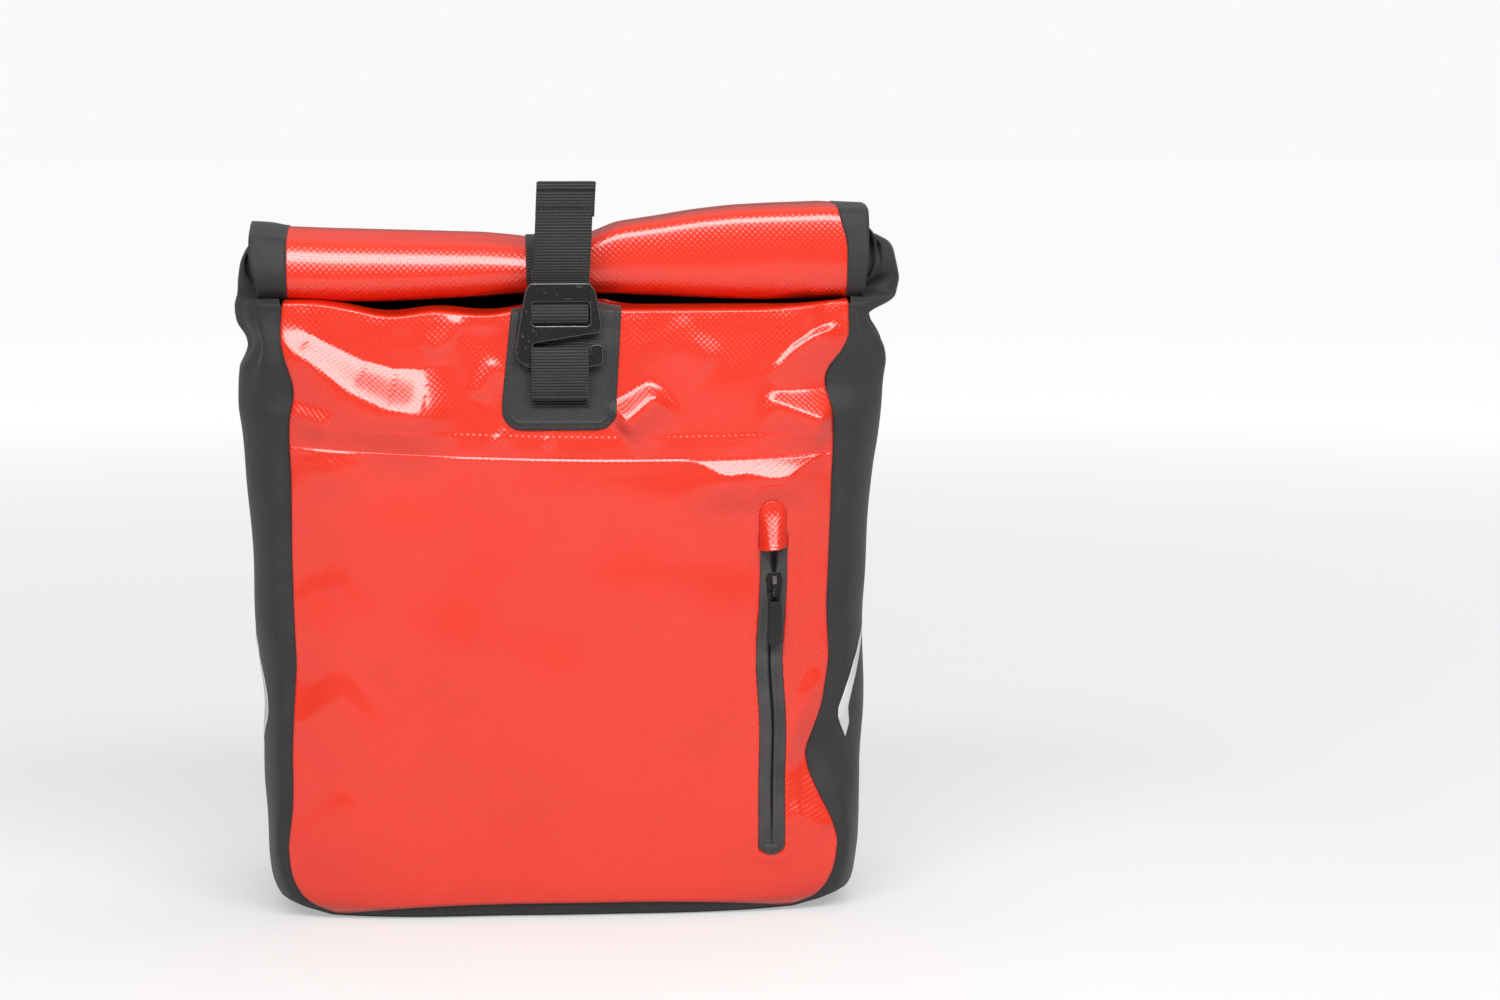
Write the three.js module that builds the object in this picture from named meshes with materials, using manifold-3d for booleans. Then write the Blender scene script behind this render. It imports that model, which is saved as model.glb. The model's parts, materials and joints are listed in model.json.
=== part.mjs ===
// Roll-top bicycle pannier bag. Millimetres, +Z up, -Y is the outer face, +Y is the side that
// hangs on the rack, and z = 0 is the flat base.
import * as THREE from 'three';
import { mergeVertices } from 'three/addons/utils/BufferGeometryUtils.js';
import Module from 'manifold-3d';

const wasm = await Module();
wasm.setup();

// ---- driving dimensions -------------------------------------------------------------------
const FABRIC = 1.2; // coated fabric
const WEBBING = 1.6; // strap thickness
const STRAP_WIDTH = 30;
const GAP = 0.5; // between pieces that touch

// Height up the bag, then the half width of the body, the half width of the outer panel at its
// weld, how far forward the outer face stands, and how far back the rack side stands.
const PROFILE = [
  [0, 120, 112, -58, 66],
  [4, 132, 122, -66, 73],
  [10, 142, 131, -74, 78.5],
  [24, 151, 138, -79, 80],
  [53, 155, 139, -81, 80],
  [115, 157, 139, -81, 80],
  [167, 161, 139, -81, 80],
  [240, 166, 141, -81, 80],
  [275, 168, 142, -81, 80],
  [300, 165, 143, -80.5, 80],
  [312, 162, 143, -78, 80],
  [322, 160, 143, -60, 80],
];
const WELD_SETBACK = 5; // the weld lies this far behind the middle of the outer face
const POCKET_TOP = 249;
const POCKET_DEPTH = 9;

const ROLL = { y: -40, z: 346, ry: 34, rz: 21, half: 145, pitch: 5, turns: 2.2 };
const HINGE = { y: 79, z: 293 }; // back edge of the mouth

const ZIP = { x: 111, half: 6.3, bottom: 36, top: 199 };
const SLIDER_Z = 176;

const RAIL = { z: 258, half: 142 };
const HOOK = { x: 85, width: 34 };
const LOWER_Z = 92; // middle of the lower rail
// Where the screws go in (x, z): four hold the upper rail, two the lower one.
const SCREWS = [
  [-136, RAIL.z],
  [-30, RAIL.z],
  [30, RAIL.z],
  [136, RAIL.z],
  [-96, LOWER_Z],
  [96, LOWER_Z],
];

// ---- helpers ------------------------------------------------------------------------------
const smooth = (t) => {
  const c = Math.min(1, Math.max(0, t));
  return c * c * (3 - 2 * c);
};

/** One column of PROFILE at height z, with straight lines between its rows. */
function profile(z, column) {
  const next = PROFILE.findIndex((row) => row[0] >= z);
  if (next === 0) return PROFILE[0][column];
  if (next < 0) return PROFILE.at(-1)[column];
  const [a, b] = [PROFILE[next - 1], PROFILE[next]];
  return a[column] + ((b[column] - a[column]) * (z - a[0])) / (b[0] - a[0]);
}
const halfWidth = (z) => profile(z, 1);
const weldHalf = (z) => profile(z, 2);
const frontY = (z) => profile(z, 3);
const backY = (z) => profile(z, 4);

/** A closed thin solid under the surface at(u, v), which runs over 0 to 1 both ways. */
function sheetSolid(at, nu, nv, thickness) {
  const position = [];
  const index = [];
  const row = nu + 1;
  const count = row * (nv + 1);
  const clamp = (t) => Math.min(1, Math.max(0, t));
  for (const under of [0, thickness]) {
    for (let j = 0; j <= nv; j++) {
      for (let i = 0; i <= nu; i++) {
        const [u, v] = [i / nu, j / nv];
        const alongU = at(clamp(u + 1e-3), v).sub(at(clamp(u - 1e-3), v));
        const alongV = at(u, clamp(v + 1e-3)).sub(at(u, clamp(v - 1e-3)));
        const normal = alongU.cross(alongV).normalize();
        position.push(...at(u, v).addScaledVector(normal, -under).toArray());
      }
    }
  }
  const quad = (a, b, c, d) => index.push(a, b, c, a, c, d);
  for (let j = 0; j < nv; j++) {
    for (let i = 0; i < nu; i++) {
      const a = j * row + i;
      quad(a, a + 1, a + row + 1, a + row);
      quad(count + a, count + a + row, count + a + row + 1, count + a + 1);
    }
  }
  for (let i = 0; i < nu; i++) {
    const top = nv * row + i;
    quad(i, count + i, count + i + 1, i + 1);
    quad(top, top + 1, count + top + 1, count + top);
  }
  for (let j = 0; j < nv; j++) {
    const [a, b] = [j * row, (j + 1) * row];
    quad(a, b, count + b, count + a);
    quad(a + nu, count + a + nu, count + b + nu, b + nu);
  }
  const geometry = new THREE.BufferGeometry();
  geometry.setAttribute('position', new THREE.Float32BufferAttribute(position, 3));
  geometry.setIndex(index);
  return geometry;
}

/** A flat outline extruded from depth 0 to depth, with an optional chamfer inside that depth. */
function extrude(outline, depth, holes = [], chamfer = 0) {
  const shape = new THREE.Shape(outline.map(([a, b]) => new THREE.Vector2(a, b)));
  for (const hole of holes) {
    shape.holes.push(new THREE.Path(hole.map(([a, b]) => new THREE.Vector2(a, b))));
  }
  const options = { depth: depth - 2 * chamfer, bevelEnabled: chamfer > 0 };
  if (chamfer > 0) {
    Object.assign(options, {
      bevelThickness: chamfer,
      bevelSize: chamfer,
      bevelOffset: -chamfer,
      bevelSegments: 1,
    });
  }
  const geometry = new THREE.ExtrudeGeometry(shape, options);
  return geometry.translate(0, 0, chamfer);
}

/** An outline in (y, z), extruded along X between x0 and x1. */
function alongX(outline, x0, x1, holes = [], chamfer = 0) {
  const turn = new THREE.Matrix4().set(0, 0, 1, x0, 1, 0, 0, 0, 0, 1, 0, 0, 0, 0, 0, 1);
  return extrude(outline, x1 - x0, holes, chamfer).applyMatrix4(turn);
}

/** An outline in (x, z), extruded along Y between y0 and y1. */
function alongY(outline, y0, y1, holes = [], chamfer = 0) {
  const turn = new THREE.Matrix4().set(1, 0, 0, 0, 0, 0, -1, y1, 0, 1, 0, 0, 0, 0, 0, 1);
  return extrude(outline, y1 - y0, holes, chamfer).applyMatrix4(turn);
}

/** The corner points of a rounded rectangle. */
function roundedBox(a0, a1, b0, b1, radius, steps = 4) {
  const corners = [
    [a1 - radius, b0 + radius, -90],
    [a1 - radius, b1 - radius, 0],
    [a0 + radius, b1 - radius, 90],
    [a0 + radius, b0 + radius, 180],
  ];
  return corners.flatMap(([a, b, start]) => arc(a, b, radius, start, start + 90, steps));
}

function arc(a, b, radius, from, to, steps) {
  return Array.from({ length: steps + 1 }, (_, i) => {
    const angle = THREE.MathUtils.degToRad(from + ((to - from) * i) / steps);
    return [a + radius * Math.cos(angle), b + radius * Math.sin(angle)];
  });
}

/** The outline of a flat band of the given thickness that follows a line of points. */
function band(line, thickness) {
  const sides = [[], []];
  line.forEach(([a, b], i) => {
    const [p, q] = [line[Math.max(0, i - 1)], line[Math.min(line.length - 1, i + 1)]];
    const length = Math.hypot(q[0] - p[0], q[1] - p[1]);
    const half = thickness / 2 / length;
    const across = [-(q[1] - p[1]) * half, (q[0] - p[0]) * half];
    sides[0].push([a - across[0], b - across[1]]);
    sides[1].unshift([a + across[0], b + across[1]]);
  });
  return [...sides[0], ...sides[1]];
}

function solid(geometry) {
  const bare = geometry.clone();
  bare.deleteAttribute('normal');
  bare.deleteAttribute('uv');
  const merged = mergeVertices(bare, 1e-4);
  return new wasm.Manifold(
    new wasm.Mesh({
      numProp: 3,
      vertProperties: new Float32Array(merged.attributes.position.array),
      triVerts: new Uint32Array(merged.index.array),
    }),
  );
}

function fromSolid(body) {
  const mesh = body.getMesh();
  const geometry = new THREE.BufferGeometry();
  geometry.setAttribute('position', new THREE.BufferAttribute(mesh.vertProperties, 3));
  geometry.setIndex(new THREE.BufferAttribute(mesh.triVerts, 1));
  return geometry;
}

const cut = (geometry, tools) =>
  fromSolid(tools.reduce((body, tool) => body.subtract(solid(tool)), solid(geometry)));
const join = (geometry, others) =>
  fromSolid(others.reduce((body, other) => body.add(solid(other)), solid(geometry)));

/** A round bar along Y. */
function rodY(x, z, radius, y0, y1, sides = 20) {
  return alongY(arc(x, z, radius, 0, 360, sides).slice(0, -1), y0, y1);
}

/** A round bar along X. */
function rodX(y, z, radius, x0, x1, sides = 20) {
  return alongX(arc(y, z, radius, 0, 360, sides).slice(0, -1), x0, x1);
}

function box(x0, x1, y0, y1, z0, z1) {
  const geometry = new THREE.BoxGeometry(x1 - x0, y1 - y0, z1 - z0);
  return geometry.translate((x0 + x1) / 2, (y0 + y1) / 2, (z0 + z1) / 2);
}

const mirror = (outline, side) => (side > 0 ? outline : outline.map(([a, b]) => [-a, b]).reverse());

// ---- materials ----------------------------------------------------------------------------
const make = (color, roughness, metalness = 0) =>
  new THREE.MeshStandardMaterial({ color, roughness, metalness });
const red = make('#e8402c', 0.35);
const black = make('#232324', 0.8);
const webbing = make('#2a2a2b', 0.85);
const rubber = make('#3a3a3b', 0.7);
const zipTape = make('#4a4948', 0.6);
const anodised = make('#2b2a29', 0.4, 0.8);
const plastic = make('#1c1c1d', 0.55);
const greyPlastic = make('#6d6e70', 0.5);
const whitePlastic = make('#d9d9d6', 0.5);
const reflective = make('#d5d5d5', 0.3);
const steel = make('#b9babd', 0.3, 0.9);

const part = new THREE.Group();
part.name = 'pannier_bag';
function add(name, geometry, material) {
  const mesh = new THREE.Mesh(geometry, material);
  mesh.name = name;
  part.add(mesh);
}

// ---- fabric shell -------------------------------------------------------------------------
const outerFace = (x, z) => frontY(z) + WELD_SETBACK * (x / weldHalf(z)) ** 4;

/** How far the inner wall stands behind the outer face, to leave the pocket between them. */
function pocketRoom(x, z) {
  const inset = Math.min(weldHalf(z) - Math.abs(x), z - 14, POCKET_TOP - z);
  const open = 2 + (POCKET_DEPTH - 2) * smooth(inset / 22);
  return open * smooth((POCKET_TOP + 4 - z) / 3);
}

function frontPanel() {
  return sheetSolid((u, v) => {
    const z = 3 + 318 * v;
    const x = (2 * u - 1) * (weldHalf(z) - 4);
    return new THREE.Vector3(x, outerFace(x, z) + pocketRoom(x, z), z);
  }, 16, 40, FABRIC);
}

function pocketPanel() {
  const sheet = sheetSolid((u, v) => {
    const z = 14 + (POCKET_TOP - 14) * v;
    const x = (2 * u - 1) * (weldHalf(z) - 1);
    return new THREE.Vector3(x, outerFace(x, z), z);
  }, 16, 18, FABRIC);
  const slot = roundedBox(ZIP.x - ZIP.half, ZIP.x + ZIP.half, ZIP.bottom, ZIP.top, 2);
  return cut(sheet, [alongY(slot, -90, -60)]);
}

/** The side of the bag at height z, from the weld (u = 0) round to the rack side (u = 1). */
function sidePoint(u, z, side, out = 0) {
  const [w, weld, y0, y1] = [halfWidth(z), weldHalf(z), frontY(z) + WELD_SETBACK, backY(z)];
  const line = new THREE.CatmullRomCurve3(
    [
      [weld + GAP + out, y0 - out],
      [w - 9 + out * 0.7, y0 + 9 - out * 0.7],
      [w + out, y0 + 33],
      [w + out, 20],
      [w - 7 + out * 0.7, y1 - 18],
      [w - 24, y1 - 2],
    ].map(([x, y]) => new THREE.Vector3(side * x, y, z)),
  );
  return line.getPoint(side > 0 ? u : 1 - u);
}

function sidePanel(side) {
  return sheetSolid((u, v) => {
    const base = sidePoint(u, 150, side);
    const top = Math.min(314, 314 - (base.y + 20) * 0.28);
    return sidePoint(u, 3 + (top - 3) * v, side);
  }, 14, 16, FABRIC);
}

function backPanel() {
  const sheet = sheetSolid((u, v) => {
    const z = 3 + 286 * v;
    return new THREE.Vector3((1 - 2 * u) * (halfWidth(z) - 26), backY(z), z);
  }, 2, 14, FABRIC);
  return cut(sheet, SCREWS.map(([x, z]) => rodY(x, z, 2.9, 60, 90)));
}

function backStiffener() {
  const plate = alongY(roundedBox(-112, 112, 24, 284, 14), 72, 74.5);
  return cut(plate, SCREWS.map(([x, z]) => rodY(x, z, 2.9, 60, 90)));
}

const basePanel = () => {
  const outline = roundedBox(-126, 126, -61, 70, 24);
  return extrude(outline, 2);
};

function sidePatch(side, z0, z1, u0, u1) {
  const [a, b] = side > 0 ? [u0, u1] : [1 - u1, 1 - u0];
  return sheetSolid((u, v) => sidePoint(a + (b - a) * u, z0 + (z1 - z0) * v, side, 1), 5, 4, 0.4);
}

// ---- pocket zip ---------------------------------------------------------------------------
const ZIP_Y = outerFace(ZIP.x, 150);
const PULL_PIVOT = [ZIP_Y - 4.8, SLIDER_Z - 3];

function zipSide(side) {
  // The tape runs up beside its partner, then turns aside above the slider, where the zip is open.
  const [inner, outer] = [0.2, ZIP.half - 1];
  const open = 2.6;
  const outline = [
    [inner, ZIP.bottom + 1],
    [outer, ZIP.bottom + 6],
    [outer, ZIP.top - 1],
    [open, ZIP.top - 1],
    [open, SLIDER_Z + 8],
    [inner, SLIDER_Z + 2],
  ];
  const placed = mirror(outline, side).map(([a, z]) => [a + ZIP.x, z]);
  return alongY(placed, ZIP_Y + 0.1, ZIP_Y + 1);
}

function zipGarage() {
  const outline = [
    [ZIP.x - 7, 199],
    [ZIP.x + 7, 199],
    ...arc(ZIP.x, 214, 7, 0, 180, 8),
  ];
  const y = outerFace(ZIP.x - 7, 210);
  return alongY(outline, y - 2, y - 0.4);
}

function zipStop() {
  const y = outerFace(ZIP.x - 5, 38);
  return alongY(roundedBox(ZIP.x - 5, ZIP.x + 5, 30, 36.6, 2), y - 1.6, y - 0.4);
}

function zipSlider() {
  const plate = [
    [-3.2, -8],
    [3.2, -8],
    [4.4, 4],
    [3, 8],
    [-3, 8],
    [-4.4, 4],
  ].map(([x, z]) => [x + ZIP.x, z + SLIDER_Z]);
  const bridge = [
    [-2.8, -6],
    [-5.9, -6],
    [-7, -5],
    [-7, 2],
    [-4.6, 6],
    [-2.8, 6],
  ].reverse().map(([y, z]) => [y + ZIP_Y, z + SLIDER_Z]);
  const eye = arc(...PULL_PIVOT, 1.2, 0, 360, 10).slice(0, -1);
  return join(alongY(plate, ZIP_Y - 3.4, ZIP_Y - 0.6, [], 0.3), [
    alongX(bridge, ZIP.x - 1.2, ZIP.x + 1.2, [eye]),
  ]);
}

function zipPull() {
  const [y, z] = PULL_PIVOT;
  const plate = roundedBox(ZIP.x - 3.6, ZIP.x + 3.6, z - 28, z - 4.2, 3);
  const ring = roundedBox(ZIP.x - 3.4, ZIP.x + 3.4, z - 6, z + 0.6, 1.2, 2);
  const eye = roundedBox(ZIP.x - 2.2, ZIP.x + 2.2, z - 4.2, z - 0.6, 0.6, 2);
  return join(alongY(plate, y - 3.4, y - 0.8, [], 0.4), [
    alongY(ring, y - 0.6, y + 0.6, [eye]),
    box(ZIP.x - 3, ZIP.x + 3, y - 1.6, y, z - 6, z - 4.4),
  ]);
}

// ---- rolled mouth -------------------------------------------------------------------------
/** The rolled fabric's section: an oval spiral that winds in to the stiffener. */
function rollSection() {
  const steps = 44;
  const line = Array.from({ length: steps + 1 }, (_, i) => {
    const turn = (ROLL.turns * i) / steps;
    const angle = -Math.PI / 2 - 2 * Math.PI * turn;
    const inward = ROLL.pitch * turn + 0.8;
    return [
      ROLL.y + (ROLL.ry - inward) * Math.cos(angle),
      ROLL.z + (ROLL.rz - inward) * Math.sin(angle),
    ];
  });
  return band(line.reverse(), 1.6);
}

const mouthStiffener = () =>
  alongX(roundedBox(ROLL.y - 15, ROLL.y + 15, ROLL.z - 0.8, ROLL.z + 0.8, 0.7, 2), -140, 140);

function mouthBack() {
  const line = [
    [HINGE.y - 3, HINGE.z + 1.5],
    [40, HINGE.z + 20],
    [0, HINGE.z + 42],
  ];
  return alongX(band(line, FABRIC), -138, 138);
}

/** The strap's line from the rack side over the roll to just above the hook. */
function strapLine() {
  const over = Array.from({ length: 10 }, (_, i) => {
    const angle = THREE.MathUtils.degToRad(28 + (150 * i) / 9);
    return [ROLL.y + (ROLL.ry + 2) * Math.cos(angle), ROLL.z + (ROLL.rz + 2) * Math.sin(angle)];
  });
  return [[HINGE.y + 1, HINGE.z + 4.2], [40, HINGE.z + 23.4], [8, HINGE.z + 41.5], ...over];
}

const strapX = (line) => alongX(band(line, WEBBING), -STRAP_WIDTH / 2, STRAP_WIDTH / 2);

const strapEnd = () =>
  strapX([
    [-77.5, 343.4],
    [-83.2, 336.5],
    [-84.7, 329],
    [-84.8, 321.4],
    [-86.4, 319.4],
    [-89.4, 319.4],
  ]);

const strapTail = () =>
  strapX([
    [-91, 320.2],
    [-91.4, 330],
    [-91.2, 345],
    [-90, 365],
    [-88.6, 388],
  ]);

// ---- G-shaped hook on the strap -----------------------------------------------------------
function gHook() {
  const outline = [
    [-14, 336],
    [15.5, 336],
    [20.5, 331],
    [22, 322],
    [22, 311.5],
    [20, 309.4],
    [-12.6, 303.8],
    [-12.6, 299.4],
    [16.5, 299.4],
    [17, 304],
    [20.5, 305.2],
    [23, 302.5],
    [23, 296],
    [20, 292.8],
    [-18, 292.8],
    [-23, 297.5],
    [-23, 320],
    [-18.6, 325],
    [-18.6, 331.4],
  ].reverse();
  const slot = roundedBox(-15.6, 15.8, 315.6, 326, 1.6, 2);
  return alongY(outline, -89.6, -86.4, [slot], 0.5);
}

const bucklePatch = () =>
  sheetSolid((u, v) => {
    const z = 260 + 50 * v;
    return new THREE.Vector3(-30.5 + 61 * u, frontY(z) - 1.7, z);
  }, 2, 8, 1);

const lowerLoop = () => alongX(roundedBox(-87.2, -83.4, 264, 291.6, 1.4, 3), -15.5, 15.5);

// ---- rack hardware ------------------------------------------------------------------------
function rail() {
  const section = [
    [80.5, -18],
    [83, -18],
    [83, -6],
    [88, -6],
    [88, -12],
    [91, -12],
    [91, 12],
    [88, 12],
    [88, 6],
    [83, 6],
    [83, 18],
    [80.5, 18],
  ].map(([y, z]) => [y, z + RAIL.z]);
  const bores = SCREWS.slice(0, 4).flatMap(([x, z]) => [
    rodY(x, z, 2.9, 78, 95),
    rodY(x, z, 5, 87.6, 95),
  ]);
  return cut(alongX(section, -RAIL.half, RAIL.half), bores);
}

/** A pan-head screw along Y: the head's outer face at y, and the shank running to y - length. */
function screw([x, z], y, length) {
  const line = [
    [0, 0],
    [3, 0],
    [4.2, -1],
    [4.2, -2.6],
    [2.4, -2.6],
    [2.4, -length],
    [0, -length],
  ].reverse();
  const turned = new THREE.LatheGeometry(line.map(([r, h]) => new THREE.Vector2(r, h)), 20);
  const hex = new THREE.CylinderGeometry(1.5, 1.5, 4, 6);
  return cut(turned, [hex]).translate(0, y, 0).translate(x, 0, z);
}

function hookBody(x) {
  const section = [
    [84.4, 34],
    [84.4, 25],
    [87.6, 25],
    [87.6, 30.4],
    [91.4, 30.4],
    [91.4, 5.6],
    [87.6, 5.6],
    [87.6, 11],
    [84.4, 11],
    [84.4, 1.5],
    [97, 1.5],
    [97, 24],
    ...arc(106, 24, 9, 180, 0, 8).slice(1),
    [115, 6],
    [118, 1],
    [121, 2],
    [121, 28],
    ...arc(112, 32, 9, 0, 90, 3),
    [92, 41],
  ].map(([y, z]) => [y, z + RAIL.z - 18]);
  const [x0, x1] = [x - HOOK.width / 2, x + HOOK.width / 2];
  const cheek = [
    [86, 3],
    [86, -8],
    [89, -12],
    [95, -12],
    [98, -8],
    [96.9, 3],
  ].reverse().map(([y, z]) => [y, z + RAIL.z - 18]);
  const body = join(alongX(section.reverse(), x0, x1), [
    alongX(cheek.reverse(), x0, x0 + 5),
    alongX(cheek, x1 - 5, x1),
  ]);
  return cut(body, [rodX(92, RAIL.z - 24, 1.8, x0 - 1, x1 + 1, 14)]);
}

function hookInsert(x) {
  const centre = RAIL.z + 6;
  const outer = [[114.4, centre - 12], ...arc(106, centre, 8.4, 0, 180, 10), [97.6, centre - 12]];
  const inner = [[98.6, centre - 12], ...arc(106, centre, 7.4, 180, 0, 10), [113.4, centre - 12]];
  return alongX([...outer, ...inner], x - 15, x + 15);
}

function latch(x) {
  const section = [
    ...arc(92, -6, 4.2, 180, 320, 6),
    [97.5, -3.4],
    [112.6, -1.6],
    [113.4, 0.6],
    [98, 0.8],
    [92, -1.8],
  ].map(([y, z]) => [y, z + RAIL.z - 18]);
  const bore = arc(92, RAIL.z - 24, 1.75, 0, 360, 14).slice(0, -1);
  return alongX(section, x - 11.4, x + 11.4, [bore]);
}

const latchPin = (x) => rodX(92, RAIL.z - 24, 1.5, x - HOOK.width / 2, x + HOOK.width / 2, 14);

function carryHandle() {
  const z = RAIL.z;
  const line = [
    [-56, z - 14],
    [-55.5, z + 6],
    [-50, z + 16],
    [-38, z + 21],
    [38, z + 21],
    [50, z + 16],
    [55.5, z + 6],
    [56, z - 14],
  ];
  return alongY(band(line, 2), 93, 117);
}

const handleGrip = () => alongX(roundedBox(91.5, 118.5, RAIL.z + 22.6, RAIL.z + 27, 2), -36, 36);

function lowerRail() {
  const section = [
    [80.5, -14],
    [83, -14],
    [83, -4],
    [87, -4],
    [87, -9],
    [89.6, -9],
    [89.6, 9],
    [87, 9],
    [87, 4],
    [83, 4],
    [83, 14],
    [80.5, 14],
  ].map(([y, z]) => [y, z + LOWER_Z]);
  const bores = SCREWS.slice(4).flatMap(([x, z]) => [
    rodY(x, z, 2.9, 78, 95),
    rodY(x, z, 5, 86.4, 95),
  ]);
  return cut(alongX(section, -102, 102), bores);
}

function lowerCarriage() {
  const section = [
    [84, 12],
    [84, 4.6],
    [86.6, 4.6],
    [86.6, 9.4],
    [90, 9.4],
    [90, -9.4],
    [86.6, -9.4],
    [86.6, -4.6],
    [84, -4.6],
    [84, -12],
    [94, -12],
    [94, 12],
  ].map(([y, z]) => [y, z + LOWER_Z]);
  return join(alongX(section, -14, 14), [
    rodY(0, LOWER_Z, 4, 93, 102),
    rodY(0, LOWER_Z, 5.6, 101.4, 102.8),
  ]);
}

function lowerHook() {
  const outline = [
    ...arc(0, LOWER_Z, 11, -50, 180, 10),
    [-11.5, 84],
    ...arc(0, 56, 11.5, 180, 360, 10),
    [11.5, 63],
    [9, 66],
    [6.6, 64],
    ...arc(0, 56, 6.2, 0, -180, 8),
    [-5.4, 80],
  ];
  const bore = arc(0, LOWER_Z, 4.1, 0, 360, 20).slice(0, -1);
  return alongY(outline, 94.6, 101, [bore], 0.6);
}

// ---- assembly -----------------------------------------------------------------------------
add('front_panel', frontPanel(), red);
add('pocket_panel', pocketPanel(), red);
add('side_left', sidePanel(-1), black);
add('side_right', sidePanel(1), black);
add('back_panel', backPanel(), black);
add('base_panel', basePanel(), black);
add('back_stiffener', backStiffener(), whitePlastic);
add('reflector_left', sidePatch(-1, 92, 138, 0.06, 0.3), reflective);
add('reflector_right', sidePatch(1, 92, 138, 0.06, 0.3), reflective);
add('buckle_patch', bucklePatch(), rubber);
add('lower_loop', lowerLoop(), webbing);
add('strap_anchor', alongY(roundedBox(-17, 17, 279, 288, 2), 80.5, 82.5), webbing);

add('zip_tape_left', zipSide(-1), zipTape);
add('zip_tape_right', zipSide(1), zipTape);
add('zip_garage', zipGarage(), red);
add('zip_stop', zipStop(), zipTape);
add('zip_slider', zipSlider(), anodised);
add('zip_pull', zipPull(), rubber);

add('mouth_roll', alongX(rollSection(), -ROLL.half, ROLL.half), red);
add('roll_end_left', alongX(rollSection(), -ROLL.half - 16, -ROLL.half - GAP), black);
add('roll_end_right', alongX(rollSection(), ROLL.half + GAP, ROLL.half + 16), black);
add('mouth_stiffener', mouthStiffener(), whitePlastic);
add('mouth_back', mouthBack(), black);
add('closing_strap', strapX(strapLine()), webbing);
add('strap_end', strapEnd(), webbing);
add('g_hook', gHook(), anodised);
add('strap_tail', strapTail(), webbing);

add('mounting_rail', rail(), plastic);
SCREWS.forEach((place, i) => {
  const name = i < 4 ? `rail_screw_${i + 1}` : `lower_screw_${i - 3}`;
  add(name, screw(place, i < 4 ? 90.6 : 89.4, 18), steel);
});
for (const [side, x] of [
  ['left', -HOOK.x],
  ['right', HOOK.x],
]) {
  add(`hook_${side}`, hookBody(x), plastic);
  add(`hook_insert_${side}`, hookInsert(x), greyPlastic);
  add(`latch_${side}`, latch(x), greyPlastic);
  add(`latch_pin_${side}`, latchPin(x), steel);
}
add('carry_handle', carryHandle(), webbing);
add('handle_grip', handleGrip(), rubber);
add('lower_rail', lowerRail(), plastic);
add('lower_carriage', lowerCarriage(), plastic);
add('lower_hook', lowerHook(), plastic);

export default part;
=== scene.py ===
"""Roll-top bicycle pannier bag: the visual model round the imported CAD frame."""
import json
import math

import bmesh
import bpy
import numpy as np
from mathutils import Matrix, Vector

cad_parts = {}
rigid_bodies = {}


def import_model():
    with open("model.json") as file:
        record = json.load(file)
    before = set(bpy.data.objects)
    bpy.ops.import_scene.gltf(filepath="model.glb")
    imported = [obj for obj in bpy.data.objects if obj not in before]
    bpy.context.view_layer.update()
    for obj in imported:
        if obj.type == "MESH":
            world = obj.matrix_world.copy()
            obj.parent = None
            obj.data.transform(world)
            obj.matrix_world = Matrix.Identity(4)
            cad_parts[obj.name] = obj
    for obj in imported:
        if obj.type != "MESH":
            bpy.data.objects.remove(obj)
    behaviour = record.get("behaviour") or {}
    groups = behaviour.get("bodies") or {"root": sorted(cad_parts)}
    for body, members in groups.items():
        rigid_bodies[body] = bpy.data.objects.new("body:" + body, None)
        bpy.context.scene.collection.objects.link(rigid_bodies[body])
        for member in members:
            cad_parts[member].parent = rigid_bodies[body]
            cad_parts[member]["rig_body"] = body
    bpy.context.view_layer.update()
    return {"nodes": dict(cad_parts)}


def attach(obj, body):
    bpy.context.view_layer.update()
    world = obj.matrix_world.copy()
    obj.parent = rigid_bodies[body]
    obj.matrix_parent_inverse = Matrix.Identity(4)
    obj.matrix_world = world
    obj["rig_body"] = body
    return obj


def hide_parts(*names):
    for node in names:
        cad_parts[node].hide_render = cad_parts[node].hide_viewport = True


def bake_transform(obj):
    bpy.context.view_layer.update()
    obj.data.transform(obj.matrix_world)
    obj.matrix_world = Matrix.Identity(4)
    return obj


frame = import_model()
MM = 0.001
RIB, RIB_HEIGHT = 1.55, 0.34  # the webbing's ribs: from one to the next, and how high they stand, in mm

# ---------------------------------------------------------------- shape of the body, in mm
# Height, then x of the weld on the left and on the right.
WELD = np.array([
    (0, -112, 110), (4, -125, 127), (9, -135, 135.5), (16, -140.5, 140.5), (25, -144, 144),
    (39, -145.2, 145.8), (50, -143.8, 142.5), (62, -142.3, 136.2), (76, -142, 130),
    (86, -142.2, 128.1), (95, -142, 131.2), (113, -141, 137.3), (137, -139.4, 140.6),
    (166, -140.5, 139.2), (197, -141, 140.6), (233, -140.5, 141.6), (255, -141.5, 142.6),
    (268, -140.9, 142.2), (275, -138.9, 140.2), (280, -138.4, 138.6), (286, -139.3, 137.7),
    (292, -141.4, 140.1), (300, -143.8, 147.2), (308, -145.3, 151.2), (318, -144.8, 150.5),
    (334, -143, 150.5)], float)
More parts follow.
